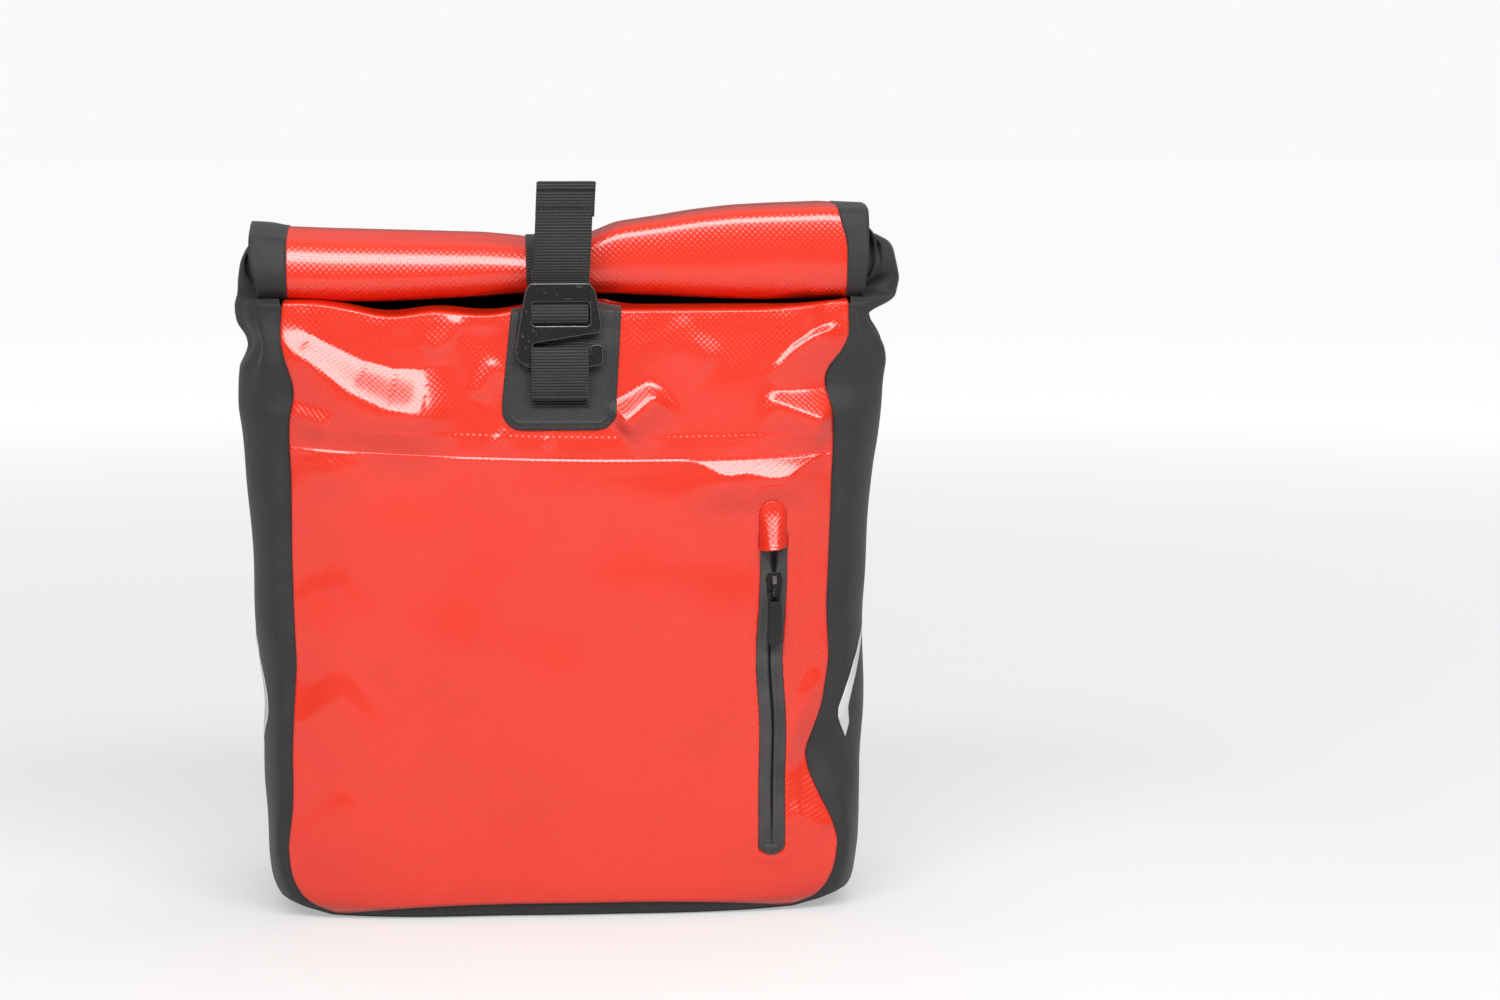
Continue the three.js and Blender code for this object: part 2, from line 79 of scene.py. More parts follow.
# Height, then x of the widest part of the side on the left and on the right.
WIDE = np.array([
    (0, -129, 130), (4, -147, 148), (9, -152.5, 156), (17, -155.4, 158), (33, -157, 160.2),
    (68, -159.4, 161.5), (116, -159.4, 161.6), (164, -162, 162.6), (217, -165, 165.7),
    (240, -167, 166.8), (270, -169.2, 171), (286, -167.3, 173.4), (292, -166.2, 174.5),
    (298, -162.4, 173.9), (303, -160.5, 172), (308, -161.6, 168.7), (314, -166.4, 164.4),
    (319, -168.2, 163.7), (323, -169.1, 172.1), (328, -169.3, 179.6), (337, -169, 181),
    (346, -167.2, 178.8), (353, -163.9, 177), (357, -160, 174), (360, -152, 166)], float)
# Height, then y of the outer face in its middle and y of the rack side.
DEPTH = np.array([
    (0, -74, 66), (3, -78, 71), (8, -80.5, 75), (16, -81.5, 79), (60, -82, 80), (235, -82, 80),
    (250, -82.5, 80), (290, -82.2, 80), (299, -82.2, 72), (307, -82.2, 57), (314, -82, 44),
    (320, -82, 35), (324.6, -81.6, 29), (325.4, -80.4, 27), (326.2, -74, 25), (327.6, -58, 21),
    (332, -62, 12), (343, -64, -6), (350, -62, -14), (361, -56, -26)], float)
NECK_Z = 322  # height at which the sides turn into the ears
EDGE_DROP = 8.0  # how far the outer face falls back by its weld
FACE_TOP = 327.4  # height at which the outer face has turned in under the roll


def soft(z, table, column, reach=5.0):
    """One column of a table at height z, with its corners rounded over the given reach."""
    z = np.asarray(z, float)
    out = 0
    for offset, weight in ((-1, 0.1), (-0.5, 0.22), (0, 0.36), (0.5, 0.22), (1, 0.1)):
        out = out + weight * np.interp(z + offset * reach, table[:, 0], table[:, column])
    return out


def gauss(x, z, cx, cz, sx, sz, turn=0.0):
    """A soft oval mound, turned anticlockwise by the given degrees."""
    c, s = math.cos(math.radians(turn)), math.sin(math.radians(turn))
    a = ((x - cx) * c + (z - cz) * s) / sx
    b = (-(x - cx) * s + (z - cz) * c) / sz
    return np.exp(-(a * a + b * b))


def smooth(t):
    """0 below 0, 1 above 1, and eased in between."""
    t = np.clip(t, 0, 1)
    return t * t * (3 - 2 * t)


def crease(x, z, line, flank, fade, steep):
    """A fold along a line of points: a flat flank falls away on its left, and it fades slowly on its right.

    The flank is given by its width at the start and at the end of the line, and by how steep it is.
    """
    line = np.asarray(line, float)
    lengths = np.hypot(*np.diff(line, axis=0).T)
    total = lengths.sum()
    best = np.full(np.shape(x), 1e9)
    signed, along = np.zeros(np.shape(x)), np.zeros(np.shape(x))
    done = 0.0
    for (x1, z1), (x2, z2), length in zip(line[:-1], line[1:], lengths):
        ux, uz = (x2 - x1) / length, (z2 - z1) / length
        t = np.clip((x - x1) * ux + (z - z1) * uz, 0, length)
        dx, dz = x - x1 - t * ux, z - z1 - t * uz
        far = np.hypot(dx, dz)
        nearer = far < best
        best = np.where(nearer, far, best)
        signed = np.where(nearer, np.where(ux * dz - uz * dx > 0, far, -far), signed)
        along = np.where(nearer, (done + t) / total, along)
        done += length
    width = flank[0] + (flank[1] - flank[0]) * along
    t = np.clip(signed / width, 0, 1)
    drop = 1 - 0.75 * t - 0.25 * smooth(t)
    slope = np.exp(-(np.clip(-signed, 0, None) / fade) ** 2)
    ends = smooth(along / 0.24) * smooth((1 - along) / 0.26)
    return steep * width * drop * slope * ends


# Mounds on the outer face: x, z, half length, half width, turn, height (minus is a dent).
MOUNDS = [
    (128, 90, 20, 13, 90, -4.0), (-137, 128, 34, 8, 90, -1.4), (-128, 60, 30, 10, 80, -1.0),
    (-60, 150, 60, 70, 20, 1.2), (60, 170, 60, 60, -30, 1.0), (0, 90, 90, 40, 0, 1.0),
    (-62, 300, 20, 12, 60, 1.4), (-42, 306, 9, 13, 20, -1.6),
    (60, 300, 24, 14, -10, 1.0), (92, 288, 30, 16, 20, 1.4), (-124, 178, 14, 30, 10, -1.2),
    (-118, 236, 16, 8, 0, 1.0), (90, 226, 30, 9, 4, 1.0), (-110, 262, 30, 8, 10, 0.8),
]
# Folds on the outer face: line of (x, z) points, flank width at both ends, fade, steepness.
CREASES = [
    ([(-154, 316), (-137, 300), (-123, 290), (-109, 280), (-91, 272), (-72, 268), (-50, 267)],
     (9, 28), 22, 0.48),
    ([(-144, 272), (-132, 267), (-118, 262)], (5, 8), 8, 0.36),
    ([(27, 260), (39, 269), (54, 282)], (14, 8), 11, 0.56),
    ([(107, 285), (113, 292), (122, 301), (133, 308), (149, 314)], (3.2, 4.2), 14, 0.60),
    ([(103, 277), (112, 273.5), (124, 269), (146, 261)], (3, 21), 14, 0.50),
    ([(-145, 98), (-130, 112), (-106, 128)], (10, 14), 26, 0.10),
    ([(-145, 40), (-130, 52), (-108, 68)], (9, 12), 24, 0.09),
    ([(-145, 166), (-130, 175), (-108, 182)], (9, 12), 22, 0.07),
    ([(116, 74), (122, 98), (136, 134)], (5, 8), 7, 0.36),
    ([(118, 58), (130, 52), (144, 43)], (6, 8), 10, 0.22),
    ([(-50, 320), (-58, 308), (-70, 298)], (5, 6), 9, 0.22),
    ([(60, 320), (68, 306), (84, 294)], (6, 8), 12, 0.16),
    ([(-46, 276), (-42, 284), (-33, 298)], (5, 6), 7, 0.26),
    ([(-38, 251), (-33, 256), (-29, 262)], (2.6, 2.6), 4, 0.34),
    ([(-10, 251), (-6.5, 256), (-5, 262)], (2.4, 2.4), 4, 0.30),
]


def roll_dip(x):
    """How much lower the outer face turns in than it does by the roll's ends."""
    left = 5.8 * np.exp(-((x + 88) / 21) ** 2) + 5.4 * np.exp(-((x + 41) / 23) ** 2)
    right = 3.2 * smooth((x - 8) / 25) * smooth((150 - x) / 50)
    touch = 1.0 * smooth((-112 - x) / 18) + 0.8 * smooth((x - 132) / 12)
    return left + right - touch


def face_y(x, z):
    """y of the outer face, with its folds."""
    x, z = np.broadcast_arrays(np.asarray(x, float), np.asarray(z, float))
    left, right = soft(z, WELD, 1), soft(z, WELD, 2)
    s = np.clip((2 * x - left - right) / (right - left), -1, 1)
    lowered = z + roll_dip(x) * smooth((z - 290) / 20)
    y = soft(lowered, DEPTH, 1, 0.8) + EDGE_DROP * np.abs(s) ** 5
    for cx, cz, a, b, turn, height in MOUNDS:
        y = y - height * gauss(x, z, cx, cz, a, b, turn)
    for line, flank, fade, steep in CREASES:
        y = y - crease(x, z, line, flank, fade, steep)
    # The cloth puckers towards the roll and along the two welds.
    pucker = np.exp(-np.clip(324 - z, 0, None) / 12)
    y = y + 0.8 * pucker * (np.sin(x / 5.3 + 1.3 * np.sin(x / 23)) + 0.5 * np.sin(x / 3.1 + 1))
    edge = np.exp(-(1 - np.abs(s)) * 141 / 11)
    y = y + 0.36 * edge * (np.sin(z / 6.1 + np.sign(x)) + 0.9 * np.sin(z / 11.3 + 2 * np.sign(x)))
    slack = 0.5 * np.sin(x / 19 + z / 31) + 0.35 * np.sin(x / 11 - z / 17 + 2) + 0.3 * np.sin(z / 9 + x / 37)
    return y - 0.6 * slack


# ---------------------------------------------------------------- mesh helpers
def new_object(name, mesh, material, body=None, replaces=()):
    """A smooth object that rides on a body and stands in for CAD nodes."""
    obj = bpy.data.objects.new(name, mesh)
    bpy.context.scene.collection.objects.link(obj)
    mesh.materials.append(material)
    mesh.polygons.foreach_set("use_smooth", [True] * len(mesh.polygons))
    if body:
        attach(obj, body)
    if replaces:
        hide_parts(*replaces)
    return obj


def write_cloth(mesh, cloth):
    """Stores each point's place on the flat cloth, in metres, for the weave."""
    layer = mesh.attributes.new("cloth", "FLOAT_VECTOR", "POINT")
    layer.data.foreach_set("vector", np.asarray(cloth, np.float32).ravel())


def finish_mesh(name, verts, faces, material, cloth=None, **kw):
    """An object from points in mm and faces, and perhaps each point's place on the flat cloth."""
    mesh = bpy.data.meshes.new(name)
    mesh.from_pydata([tuple(v) for v in np.asarray(verts, float) * MM], [], faces)
    mesh.update()
    if cloth is not None:
        write_cloth(mesh, cloth)
    return new_object(name, mesh, material, **kw)


def turn_outward(obj):
    """Turns the normals of a closed mesh outward."""
    bm = bmesh.new()
    bm.from_mesh(obj.data)
    bmesh.ops.recalc_face_normals(bm, faces=bm.faces)
    bm.to_mesh(obj.data)
    bm.free()
    return obj


def grid_faces(rows, cols, wrap=False, keep=None):
    """The quads between rows of points, less the ones that aren't kept."""
    faces = []
    last = cols if wrap else cols - 1
    for j in range(rows - 1):
        for i in range(last):
            if keep is not None and not keep[j, i]:
                continue
            a, b = j * cols + i, j * cols + (i + 1) % cols
            faces.append((a, b, b + cols, a + cols))
    return faces


def lengths_along(points, axis):
    """How far each point lies along its row or column, in mm."""
    steps = np.linalg.norm(np.diff(points, axis=axis), axis=2)
    start = np.zeros_like(np.take(steps, [0], axis=axis))
    return np.concatenate([start, np.cumsum(steps, axis=axis)], axis=axis)


def grid(name, points, material, thickness, offset=-1.0, wrap=False, keep=None, flip=False, **kw):
    """A surface from an array of points [row, column, xyz] in mm, made as thick as the cloth."""
    rows, cols = points.shape[:2]
    faces = grid_faces(rows, cols, wrap, keep)
    if flip:
        faces = [f[::-1] for f in faces]
    across, up = lengths_along(points, 1), lengths_along(points, 0)
    across = across - across[:, cols // 2][:, None]
    cloth = np.stack([across, up, 0 * up], axis=2) * MM
    obj = finish_mesh(name, points.reshape(-1, 3), faces, material, cloth=cloth, **kw)
    if keep is not None:
        bm = bmesh.new()
        bm.from_mesh(obj.data)
        loose = [v for v in bm.verts if not v.link_faces]
        bmesh.ops.delete(bm, geom=loose, context="VERTS")
        bm.to_mesh(obj.data)
        bm.free()
    m = obj.modifiers.new("thickness", "SOLIDIFY")
    m.thickness = thickness * MM
    m.offset = offset
    m.use_even_offset = False
    return obj


def round_edges(obj, width, segments, angle):
    """Rounds the edges that are sharper than an angle, and returns the modifier that does it."""
    m = obj.modifiers.new("edges", "BEVEL")
    m.width = width * MM
    m.segments = segments
    m.limit_method = "ANGLE"
    m.angle_limit = math.radians(angle)
    m.harden_normals = True
    obj.modifiers.new("normals", "WEIGHTED_NORMAL").keep_sharp = True
    return m


def plate(name, outline, hole, y0, y1, material, **kw):
    """A flat outline in (x, z) mm, cut with a hole, between y0 and y1."""
    curve = bpy.data.curves.new(name, "CURVE")
    curve.dimensions = "2D"
    curve.fill_mode = "BOTH"
    curve.extrude = (y1 - y0) / 2 * MM
    for line in (outline, hole):
        rim = curve.splines.new("POLY")
        rim.points.add(len(line) - 1)
        for p, (x, z) in zip(rim.points, line):
            p.co = (x * MM, z * MM, 0, 1)
        rim.use_cyclic_u = True
    temp = bpy.data.objects.new(name + "_curve", curve)
    bpy.context.scene.collection.objects.link(temp)
    made = bpy.data.meshes.new_from_object(temp)
    bpy.data.objects.remove(temp)
    bpy.data.curves.remove(curve)
    bm = bmesh.new()
    bm.from_mesh(made)
    bpy.data.meshes.remove(made)
    bmesh.ops.remove_doubles(bm, verts=bm.verts, dist=1e-6)
    bmesh.ops.dissolve_limit(bm, angle_limit=0.02, verts=bm.verts, edges=bm.edges)
    for v in bm.verts:
        x, z, y = v.co
        v.co = (x, -y + (y0 + y1) / 2 * MM, z)
    bmesh.ops.recalc_face_normals(bm, faces=bm.faces)
    mesh = bpy.data.meshes.new(name)
    bm.to_mesh(mesh)
    bm.free()
    obj = new_object(name, mesh, material, **kw)
    mesh.polygons.foreach_set("use_smooth", [False] * len(mesh.polygons))
    return obj


def resample(line, step):
    """Points at even steps along a smooth line through the given points."""
    line = np.asarray(line, float)
    n = len(line)
    padded = np.vstack([2 * line[0] - line[1], line, 2 * line[-1] - line[-2]])
    fine = []
    for i in range(n - 1):
        t = np.linspace(0, 1, 24, endpoint=False)[:, None]
        fine.append(spline(padded[i:i + 4], t))
    fine = np.vstack([*fine, line[-1:]])
    along = np.concatenate([[0], np.cumsum(np.linalg.norm(np.diff(fine, axis=0), axis=1))])
    at = np.linspace(0, along[-1], max(3, int(round(along[-1] / step)) + 1))
    return np.stack([np.interp(at, along, fine[:, k]) for k in range(fine.shape[1])], axis=1), at


def spline(four, t):
    """A smooth curve from the second of four points to the third."""
    p0, p1, p2, p3 = four
    return 0.5 * (2 * p1 + (p2 - p0) * t + (2 * p0 - 5 * p1 + 4 * p2 - p3) * t**2
                  + (3 * p1 - p0 - 3 * p2 + p3) * t**3)


def ribbon(name, line, width=30.0, thick=1.6, x0=0.0, shape=None, **kw):
    """Ribbed webbing that follows a line in (y, z); a shape function may move its points."""
    points, along = resample(line, RIB / 4)
    tangent = np.gradient(points, axis=0)
    tangent /= np.linalg.norm(tangent, axis=1)[:, None]
    normal = np.stack([-tangent[:, 1], tangent[:, 0]], axis=1)
    across = np.array([-1, -0.985, -0.93, -0.5, 0, 0.5, 0.93, 0.985, 1.0])
    taper = np.array([0.25, 0.8, 1, 1, 1, 1, 1, 0.8, 0.25])
    wave = RIB_HEIGHT * np.abs(np.sin(math.pi * along / RIB))
    rings, cloth = [], []
    for side in (1, -1):
        order = range(len(across)) if side > 0 else range(len(across) - 1, -1, -1)
        for i in order:
            out = side * taper[i] * (thick / 2 + wave - RIB_HEIGHT / 2)
            edge = 0.22 * np.sin(math.pi * along / RIB) ** 2 if abs(across[i]) > 0.9 else 0
            w = width / 2 * across[i] * np.ones(len(along)) - np.sign(across[i]) * edge
            x, y, z = x0 + w, points[:, 0] + normal[:, 0] * out, points[:, 1] + normal[:, 1] * out
            if shape:
                x, y, z = shape(x, y, z)
            rings.append(np.stack([x, y, z], axis=1))
            cloth.append(np.stack([w * MM, along * MM, 0 * w], axis=1))
    rings, cloth = np.stack(rings, axis=1), np.stack(cloth, axis=1)
    rows, cols = rings.shape[:2]
    faces = grid_faces(rows, cols, wrap=True)
    faces.append(tuple(range(cols))[::-1])
    faces.append(tuple((rows - 1) * cols + i for i in range(cols)))
    return turn_outward(finish_mesh(name, rings.reshape(-1, 3), faces, WEBBING, cloth=cloth, **kw))


def arc(cx, cz, radius, start, end, steps):
    """Points on an arc between two angles in degrees."""
    return [(cx + radius * math.cos(math.radians(start + (end - start) * i / steps)),
             cz + radius * math.sin(math.radians(start + (end - start) * i / steps)))
            for i in range(steps + 1)]


def rounded(x0, x1, z0, z1, r, steps):
    """A rectangle with round corners."""
    return (arc(x1 - r, z0 + r, r, -90, 0, steps) + arc(x1 - r, z1 - r, r, 0, 90, steps)
            + arc(x0 + r, z1 - r, r, 90, 180, steps) + arc(x0 + r, z0 + r, r, 180, 270, steps))


def soften_corners(corners):
    """An outline from corners given as x, z and how far back from the corner its round begins."""
    out = []
    for i, (x, z, r) in enumerate(corners):
        here = np.array((x, z), float)
        before = np.array(corners[i - 1][:2], float)
        after = np.array(corners[(i + 1) % len(corners)][:2], float)
        a = here + (before - here) / np.linalg.norm(before - here) * r
        b = here + (after - here) / np.linalg.norm(after - here) * r
        for t in np.linspace(0, 1, 5):
            out.append(tuple((1 - t) ** 2 * a + 2 * t * (1 - t) * here + t**2 * b))
    return out


# ---------------------------------------------------------------- materials
class Nodes:
    """A short way to write a material's nodes."""

    def __init__(self, name, cloth=False):
        """A new material; with cloth, its pattern lies on the flat cloth instead of in space."""
        self.material = bpy.data.materials.new(name)
        self.material.use_nodes = True
        self.tree = self.material.node_tree
        self.tree.nodes.clear()
        self.out = self.tree.nodes.new("ShaderNodeOutputMaterial")
        self.shader = self.tree.nodes.new("ShaderNodeBsdfPrincipled")
        self.tree.links.new(self.shader.outputs[0], self.out.inputs[0])
        self.place = self.tree.nodes.new("ShaderNodeTexCoord").outputs["Object"]
        self.where = self.place
        if cloth:
            self.where = self.add("Attribute", attribute_name="cloth").outputs["Vector"]

    def add(self, kind, inputs=None, **settings):
        """A node whose inputs are given as values or as links."""
        node = self.tree.nodes.new("ShaderNode" + kind)
        for key, value in settings.items():
            setattr(node, key, value)
        for key, value in (inputs or {}).items():
            if isinstance(value, bpy.types.NodeSocket):
                self.tree.links.new(value, node.inputs[key])
            else:
                node.inputs[key].default_value = value
        return node

    def math(self, operation, a, b=None, clamp=False):
        """A sum on one or two values."""
        inputs = {0: a} if b is None else {0: a, 1: b}
        return self.add("Math", inputs, operation=operation, use_clamp=clamp).outputs[0]

    def noise(self, scale, detail=3.0, vector=None):
        """Soft noise from 0 to 1."""
        node = self.add("TexNoise", {"Vector": vector or self.place, "Scale": scale, "Detail": detail})
        return node.outputs["Fac"]

    def spread(self, value, low, high):
        """A 0 to 1 value mapped to low to high."""
        return self.add("MapRange", {"Value": value, "To Min": low, "To Max": high}).outputs[0]

    def colours(self, value, stops):
        """A 0 to 1 value as a colour between stops."""
        ramp = self.add("ValToRGB", {"Fac": value})
        while len(ramp.color_ramp.elements) < len(stops):
            ramp.color_ramp.elements.new(0.5)
        for element, (position, colour) in zip(ramp.color_ramp.elements, stops):
            element.position = position
            element.color = (*colour, 1)
        return ramp.outputs[0]

    def bump(self, height, strength, distance, normal=None):
        """A relief, which may lie on top of another."""
        inputs = {"Height": height, "Strength": strength, "Distance": distance}
        if normal is not None:
            inputs["Normal"] = normal
        return self.add("Bump", inputs).outputs[0]

    def set(self, **values):
        """Sets or links the shader's inputs and returns the material."""
        for key, value in values.items():
            socket = self.shader.inputs[key.replace("_", " ")]
            if isinstance(value, bpy.types.NodeSocket):
                self.tree.links.new(value, socket)
            else:
                socket.default_value = value
        return self.material


def linear(r, g, b):
    """sRGB 0 to 255 as linear colour."""
    return tuple(((c / 255 + 0.055) / 1.055) ** 2.4 if c > 10 else c / 255 / 12.92 for c in (r, g, b))


def weave(n, pitch, turn=0.0):
    """A woven relief: two crossed sets of threads, from -1 to 1."""
    vector = n.where
    if turn:
        vector = n.add("Mapping", {"Vector": vector, "Rotation": (0, 0, math.radians(turn))}).outputs[0]
    split = n.add("SeparateXYZ", {"Vector": vector})
    waves = [n.math("SINE", n.math("MULTIPLY", split.outputs[axis], 2 * math.pi / pitch))
             for axis in ("X", "Y")]
    return n.math("MULTIPLY", waves[0], waves[1])


def tarpaulin(name, low, high, rough):
    """Glossy coated fabric: the scrim under the coating shows as rows of soft dots."""
    n = Nodes(name, cloth=True)
    tone = n.math("ADD", n.math("MULTIPLY", n.noise(8, 2), 0.7), n.math("MULTIPLY", n.noise(70, 3), 0.3))
    relief = n.bump(weave(n, 0.0032), 1.0, 0.0001)
    relief = n.bump(n.noise(14, 1), 0.16, 0.001, relief)
    return n.set(Base_Color=n.colours(tone, [(0.3, low), (0.7, high)]), Normal=relief,
                 Roughness=n.spread(n.noise(16, 1), rough - 0.02, rough + 0.02),
                 Coat_Weight=1.0, Coat_Roughness=0.16)


def matt_fabric(name, low, high, rough, pitch, emboss, turn):
    """Matt coated fabric with a diagonal weave."""
    n = Nodes(name, cloth=True)
    threads = weave(n, pitch, turn)
    tone = n.math("ADD", n.math("MULTIPLY", n.noise(14, 4), 0.6), n.math("MULTIPLY", n.noise(500, 2), 0.4))
    tone = n.math("ADD", tone, n.math("MULTIPLY", threads, 0.1))
    relief = n.bump(threads, emboss, 0.00008)
    relief = n.bump(n.noise(45, 4), 0.5, 0.0016, relief)
    return n.set(Base_Color=n.colours(tone, [(0.28, low), (0.72, high)]), Normal=relief,
                 Roughness=n.spread(n.noise(30, 3), rough - 0.05, rough + 0.08),
                 Sheen_Weight=0.15, Sheen_Roughness=0.5)


def webbing_material():
    """Ribbed webbing: warp yarns, fuzz, and ribs painted lighter on their crowns and darker between them as
    painted shade.
    """
    n = Nodes("webbing", cloth=True)
    split = n.add("SeparateXYZ", {"Vector": n.where})
    yarn = n.math("SINE", n.math("MULTIPLY", split.outputs["X"], 2 * math.pi / 0.0009))
    rib = n.math("ABSOLUTE", n.math("SINE", n.math("MULTIPLY", split.outputs["Y"], math.pi / (RIB * MM))))
    fuzz = n.noise(900, 2)
    # Painted shade: the tone is darker in the gaps between the ribs and lighter on their crowns, in step with
    # the ribs' relief.
    tone = n.math("ADD", n.math("MULTIPLY", rib, 0.62), n.math("MULTIPLY", fuzz, 0.3))
    tone = n.math("ADD", tone, n.math("MULTIPLY", n.noise(40, 2), 0.16))
    colour = n.colours(tone, [(0.2, linear(9, 8, 9)), (0.62, linear(34, 32, 33)), (0.95, linear(66, 63, 64))])
    relief = n.bump(n.math("ADD", yarn, fuzz), 0.5, 0.0001)
    return n.set(Base_Color=colour, Roughness=0.8, Normal=relief, Sheen_Weight=0.2, Sheen_Roughness=0.4)


def metal_material(name, colour, worn, rough, metallic):
    """Anodised or plated metal with small worn specks."""
    n = Nodes(name)
    wear = n.add("MapRange", {"Value": n.noise(620, 4), "From Min": 0.62, "From Max": 0.8}).outputs[0]
    wear = n.math("MULTIPLY", wear, n.spread(n.noise(90, 2), 0.0, 1.0), clamp=True)
    tone = n.add("Mix", {0: wear, 6: (*colour, 1), 7: (*worn, 1)}, data_type="RGBA").outputs[2]
    relief = n.bump(n.noise(1600, 3), 0.25, 0.00006)
    return n.set(Base_Color=tone, Metallic=metallic, Normal=relief,
                 Roughness=n.spread(n.noise(300, 3), rough - 0.06, rough + 0.1))


def plastic_material(name, low, high, rough, grain):
    """Moulded plastic, rubber or thread: two close tones and a fine grain."""
    n = Nodes(name)
    relief = n.bump(n.noise(1500, 3), grain, 0.00008)
    return n.set(Base_Color=n.colours(n.noise(60, 4), [(0.3, low), (0.7, high)]), Normal=relief,
                 Roughness=n.spread(n.noise(200, 3), rough - 0.06, rough + 0.08))


def brushed_steel():
    """Bright steel with fine lines in one direction."""
    n = Nodes("plated_steel")
    stretched = n.add("Mapping", {"Vector": n.where, "Scale": (1, 12, 1)}).outputs[0]
    lines = n.noise(900, 3, stretched)
    return n.set(Base_Color=n.colours(lines, [(0.3, (0.42, 0.42, 0.43)), (0.7, (0.6, 0.6, 0.61))]),
                 Metallic=1.0, Roughness=n.spread(lines, 0.22, 0.4))


def reflector_material():
    """Reflective film with its fine cells."""
    n = Nodes("reflective_film")
    cells = n.add("TexVoronoi", {"Vector": n.where, "Scale": 900.0}, feature="DISTANCE_TO_EDGE").outputs[0]
    relief = n.bump(cells, 0.3, 0.0001)
    colour = n.colours(n.noise(120, 3), [(0.3, linear(214, 213, 213)), (0.7, linear(234, 232, 232))])
    return n.set(Base_Color=colour, Roughness=0.34, Metallic=0.1, Normal=relief)


RED = tarpaulin("red_coated_fabric", linear(225, 42, 13), linear(231, 46, 15), 0.30)
BLACK = matt_fabric("black_coated_fabric", linear(29, 27, 28), linear(45, 43, 44), 0.62, 0.0011, 0.7, 45)
PATCH = matt_fabric("patch_rubber", linear(32, 30, 31), linear(49, 47, 48), 0.52, 0.0017, 1.0, 30)
WEBBING = webbing_material()
ANODISED = metal_material("black_anodised", linear(25, 24, 24), linear(150, 146, 140), 0.38, 0.3)
# Paler metal for the hook's rounded edges: wear, and a painted highlight along them.
EDGE_WEAR_AND_SHEEN = metal_material("edge_wear_and_sheen", linear(92, 90, 87), linear(180, 176, 170), 0.34, 0.5)
GUNMETAL = metal_material("gunmetal", linear(58, 56, 55), linear(170, 166, 160), 0.26, 0.95)
ZIP_FILM = plastic_material("zip_film", linear(56, 54, 54), linear(72, 70, 69), 0.42, 0.4)
PULL = plastic_material("pull_rubber", linear(18, 18, 19), linear(30, 29, 30), 0.36, 0.4)
HARD = plastic_material("moulded_plastic", linear(30, 30, 31), linear(42, 42, 43), 0.5, 0.5)
GREY = plastic_material("grey_plastic", linear(92, 94, 96), linear(108, 109, 111), 0.48, 0.35)
SHEET_PLASTIC = plastic_material("stiffener_sheet", linear(205, 205, 200), linear(222, 222, 216), 0.5, 0.4)
THREAD = plastic_material("thread", linear(24, 23, 24), linear(46, 44, 45), 0.7, 0.2)
STEEL = brushed_steel()
REFLECT = reflector_material()

# ---------------------------------------------------------------- body shell
LIP_Z = 245.0  # lower edge of the welded band across the outer face
BAND = 10.6  # height of that band
ZIP_LOW, ZIP_TOP, SLIDER_Z = 32.5, 199.0, 176.0  # heights of the zip's ends and of its slider
ZIP_X, ZIP_HALF = 111, 6.4  # x of the zip, and half its width
INNER_TOP = 314.0  # top of the wall between the pocket and the bag's inside


def lip_z(x):
    """The band's lower edge: a slack curve, lowest right of the middle and highest at its left end."""
    return LIP_Z - 0.8 + 7.6 * np.abs((x - 45) / 186) ** 1.9


def red_bottom(x):
    """The red's lower edge, which drops towards the bag's corners."""
    return 8.0 - 4.5 * np.abs(x / 125) ** 3


def zip_centre(z):
    """x of the zip's middle: it runs in a slight curve."""
    return ZIP_X - 2.4 * np.exp(-((z - 138) / 27) ** 2) - 1.1 * smooth((110 - z) / 50)


def face_grid(z_low, z_high, nx, nz, push=0.0, fine_top=1.0):
    """Points on the outer face between two heights given as functions of x."""
    u, v = np.meshgrid(np.linspace(-1, 1, nx), np.linspace(0, 1, nz))
    v = 1 - (1 - v) ** fine_top
    middle = 0.5 * (soft(120, WELD, 1) + soft(120, WELD, 2))
    guess = middle + u * 139
    z = z_low(guess) + (z_high(guess) - z_low(guess)) * v
    left, right = soft(z, WELD, 1), soft(z, WELD, 2)
    x = (left + right) / 2 + u * (right - left) / 2
    return np.stack([x, face_y(x, z) - push, z], axis=2)


def pocket_relief(x, z):
    """How far the pocket's face stands out: its bulge under the lip, and the zip's panel."""
    below = lip_z(x) - z
    reach = 3 + 8 * smooth((x - 66) / 26) * smooth((142 - x) / 26)
    reach = reach + 1.5 * np.sin(x / 5.5) * smooth((x - 70) / 20)
    across = smooth((x - 60) / 14) * smooth((141 - x) / 12)
    flank = 0.41 * np.clip(below + 1, 0, reach) * across
    flank = flank + 0.2 * np.clip(below, 0, 7) * np.exp(-((x + 118) / 16) ** 2)
    bulge = flank * smooth((32 - below) / 22) + 1.7 * smooth((60 - below) / 50)
    bulge = bulge - 0.42 * np.clip(1.4 - below, 0, None) - 0.9 * np.clip(-below, 0, None)
    dx, dz = np.abs(x - 110.5) - 2.5, np.abs(z - 129) - 89
    outline = np.hypot(np.clip(dx, 0, None), np.clip(dz, 0, None)) + np.minimum(np.maximum(dx, dz), 0)
    return bulge + 0.45 * smooth((12.4 - outline) / 0.8)


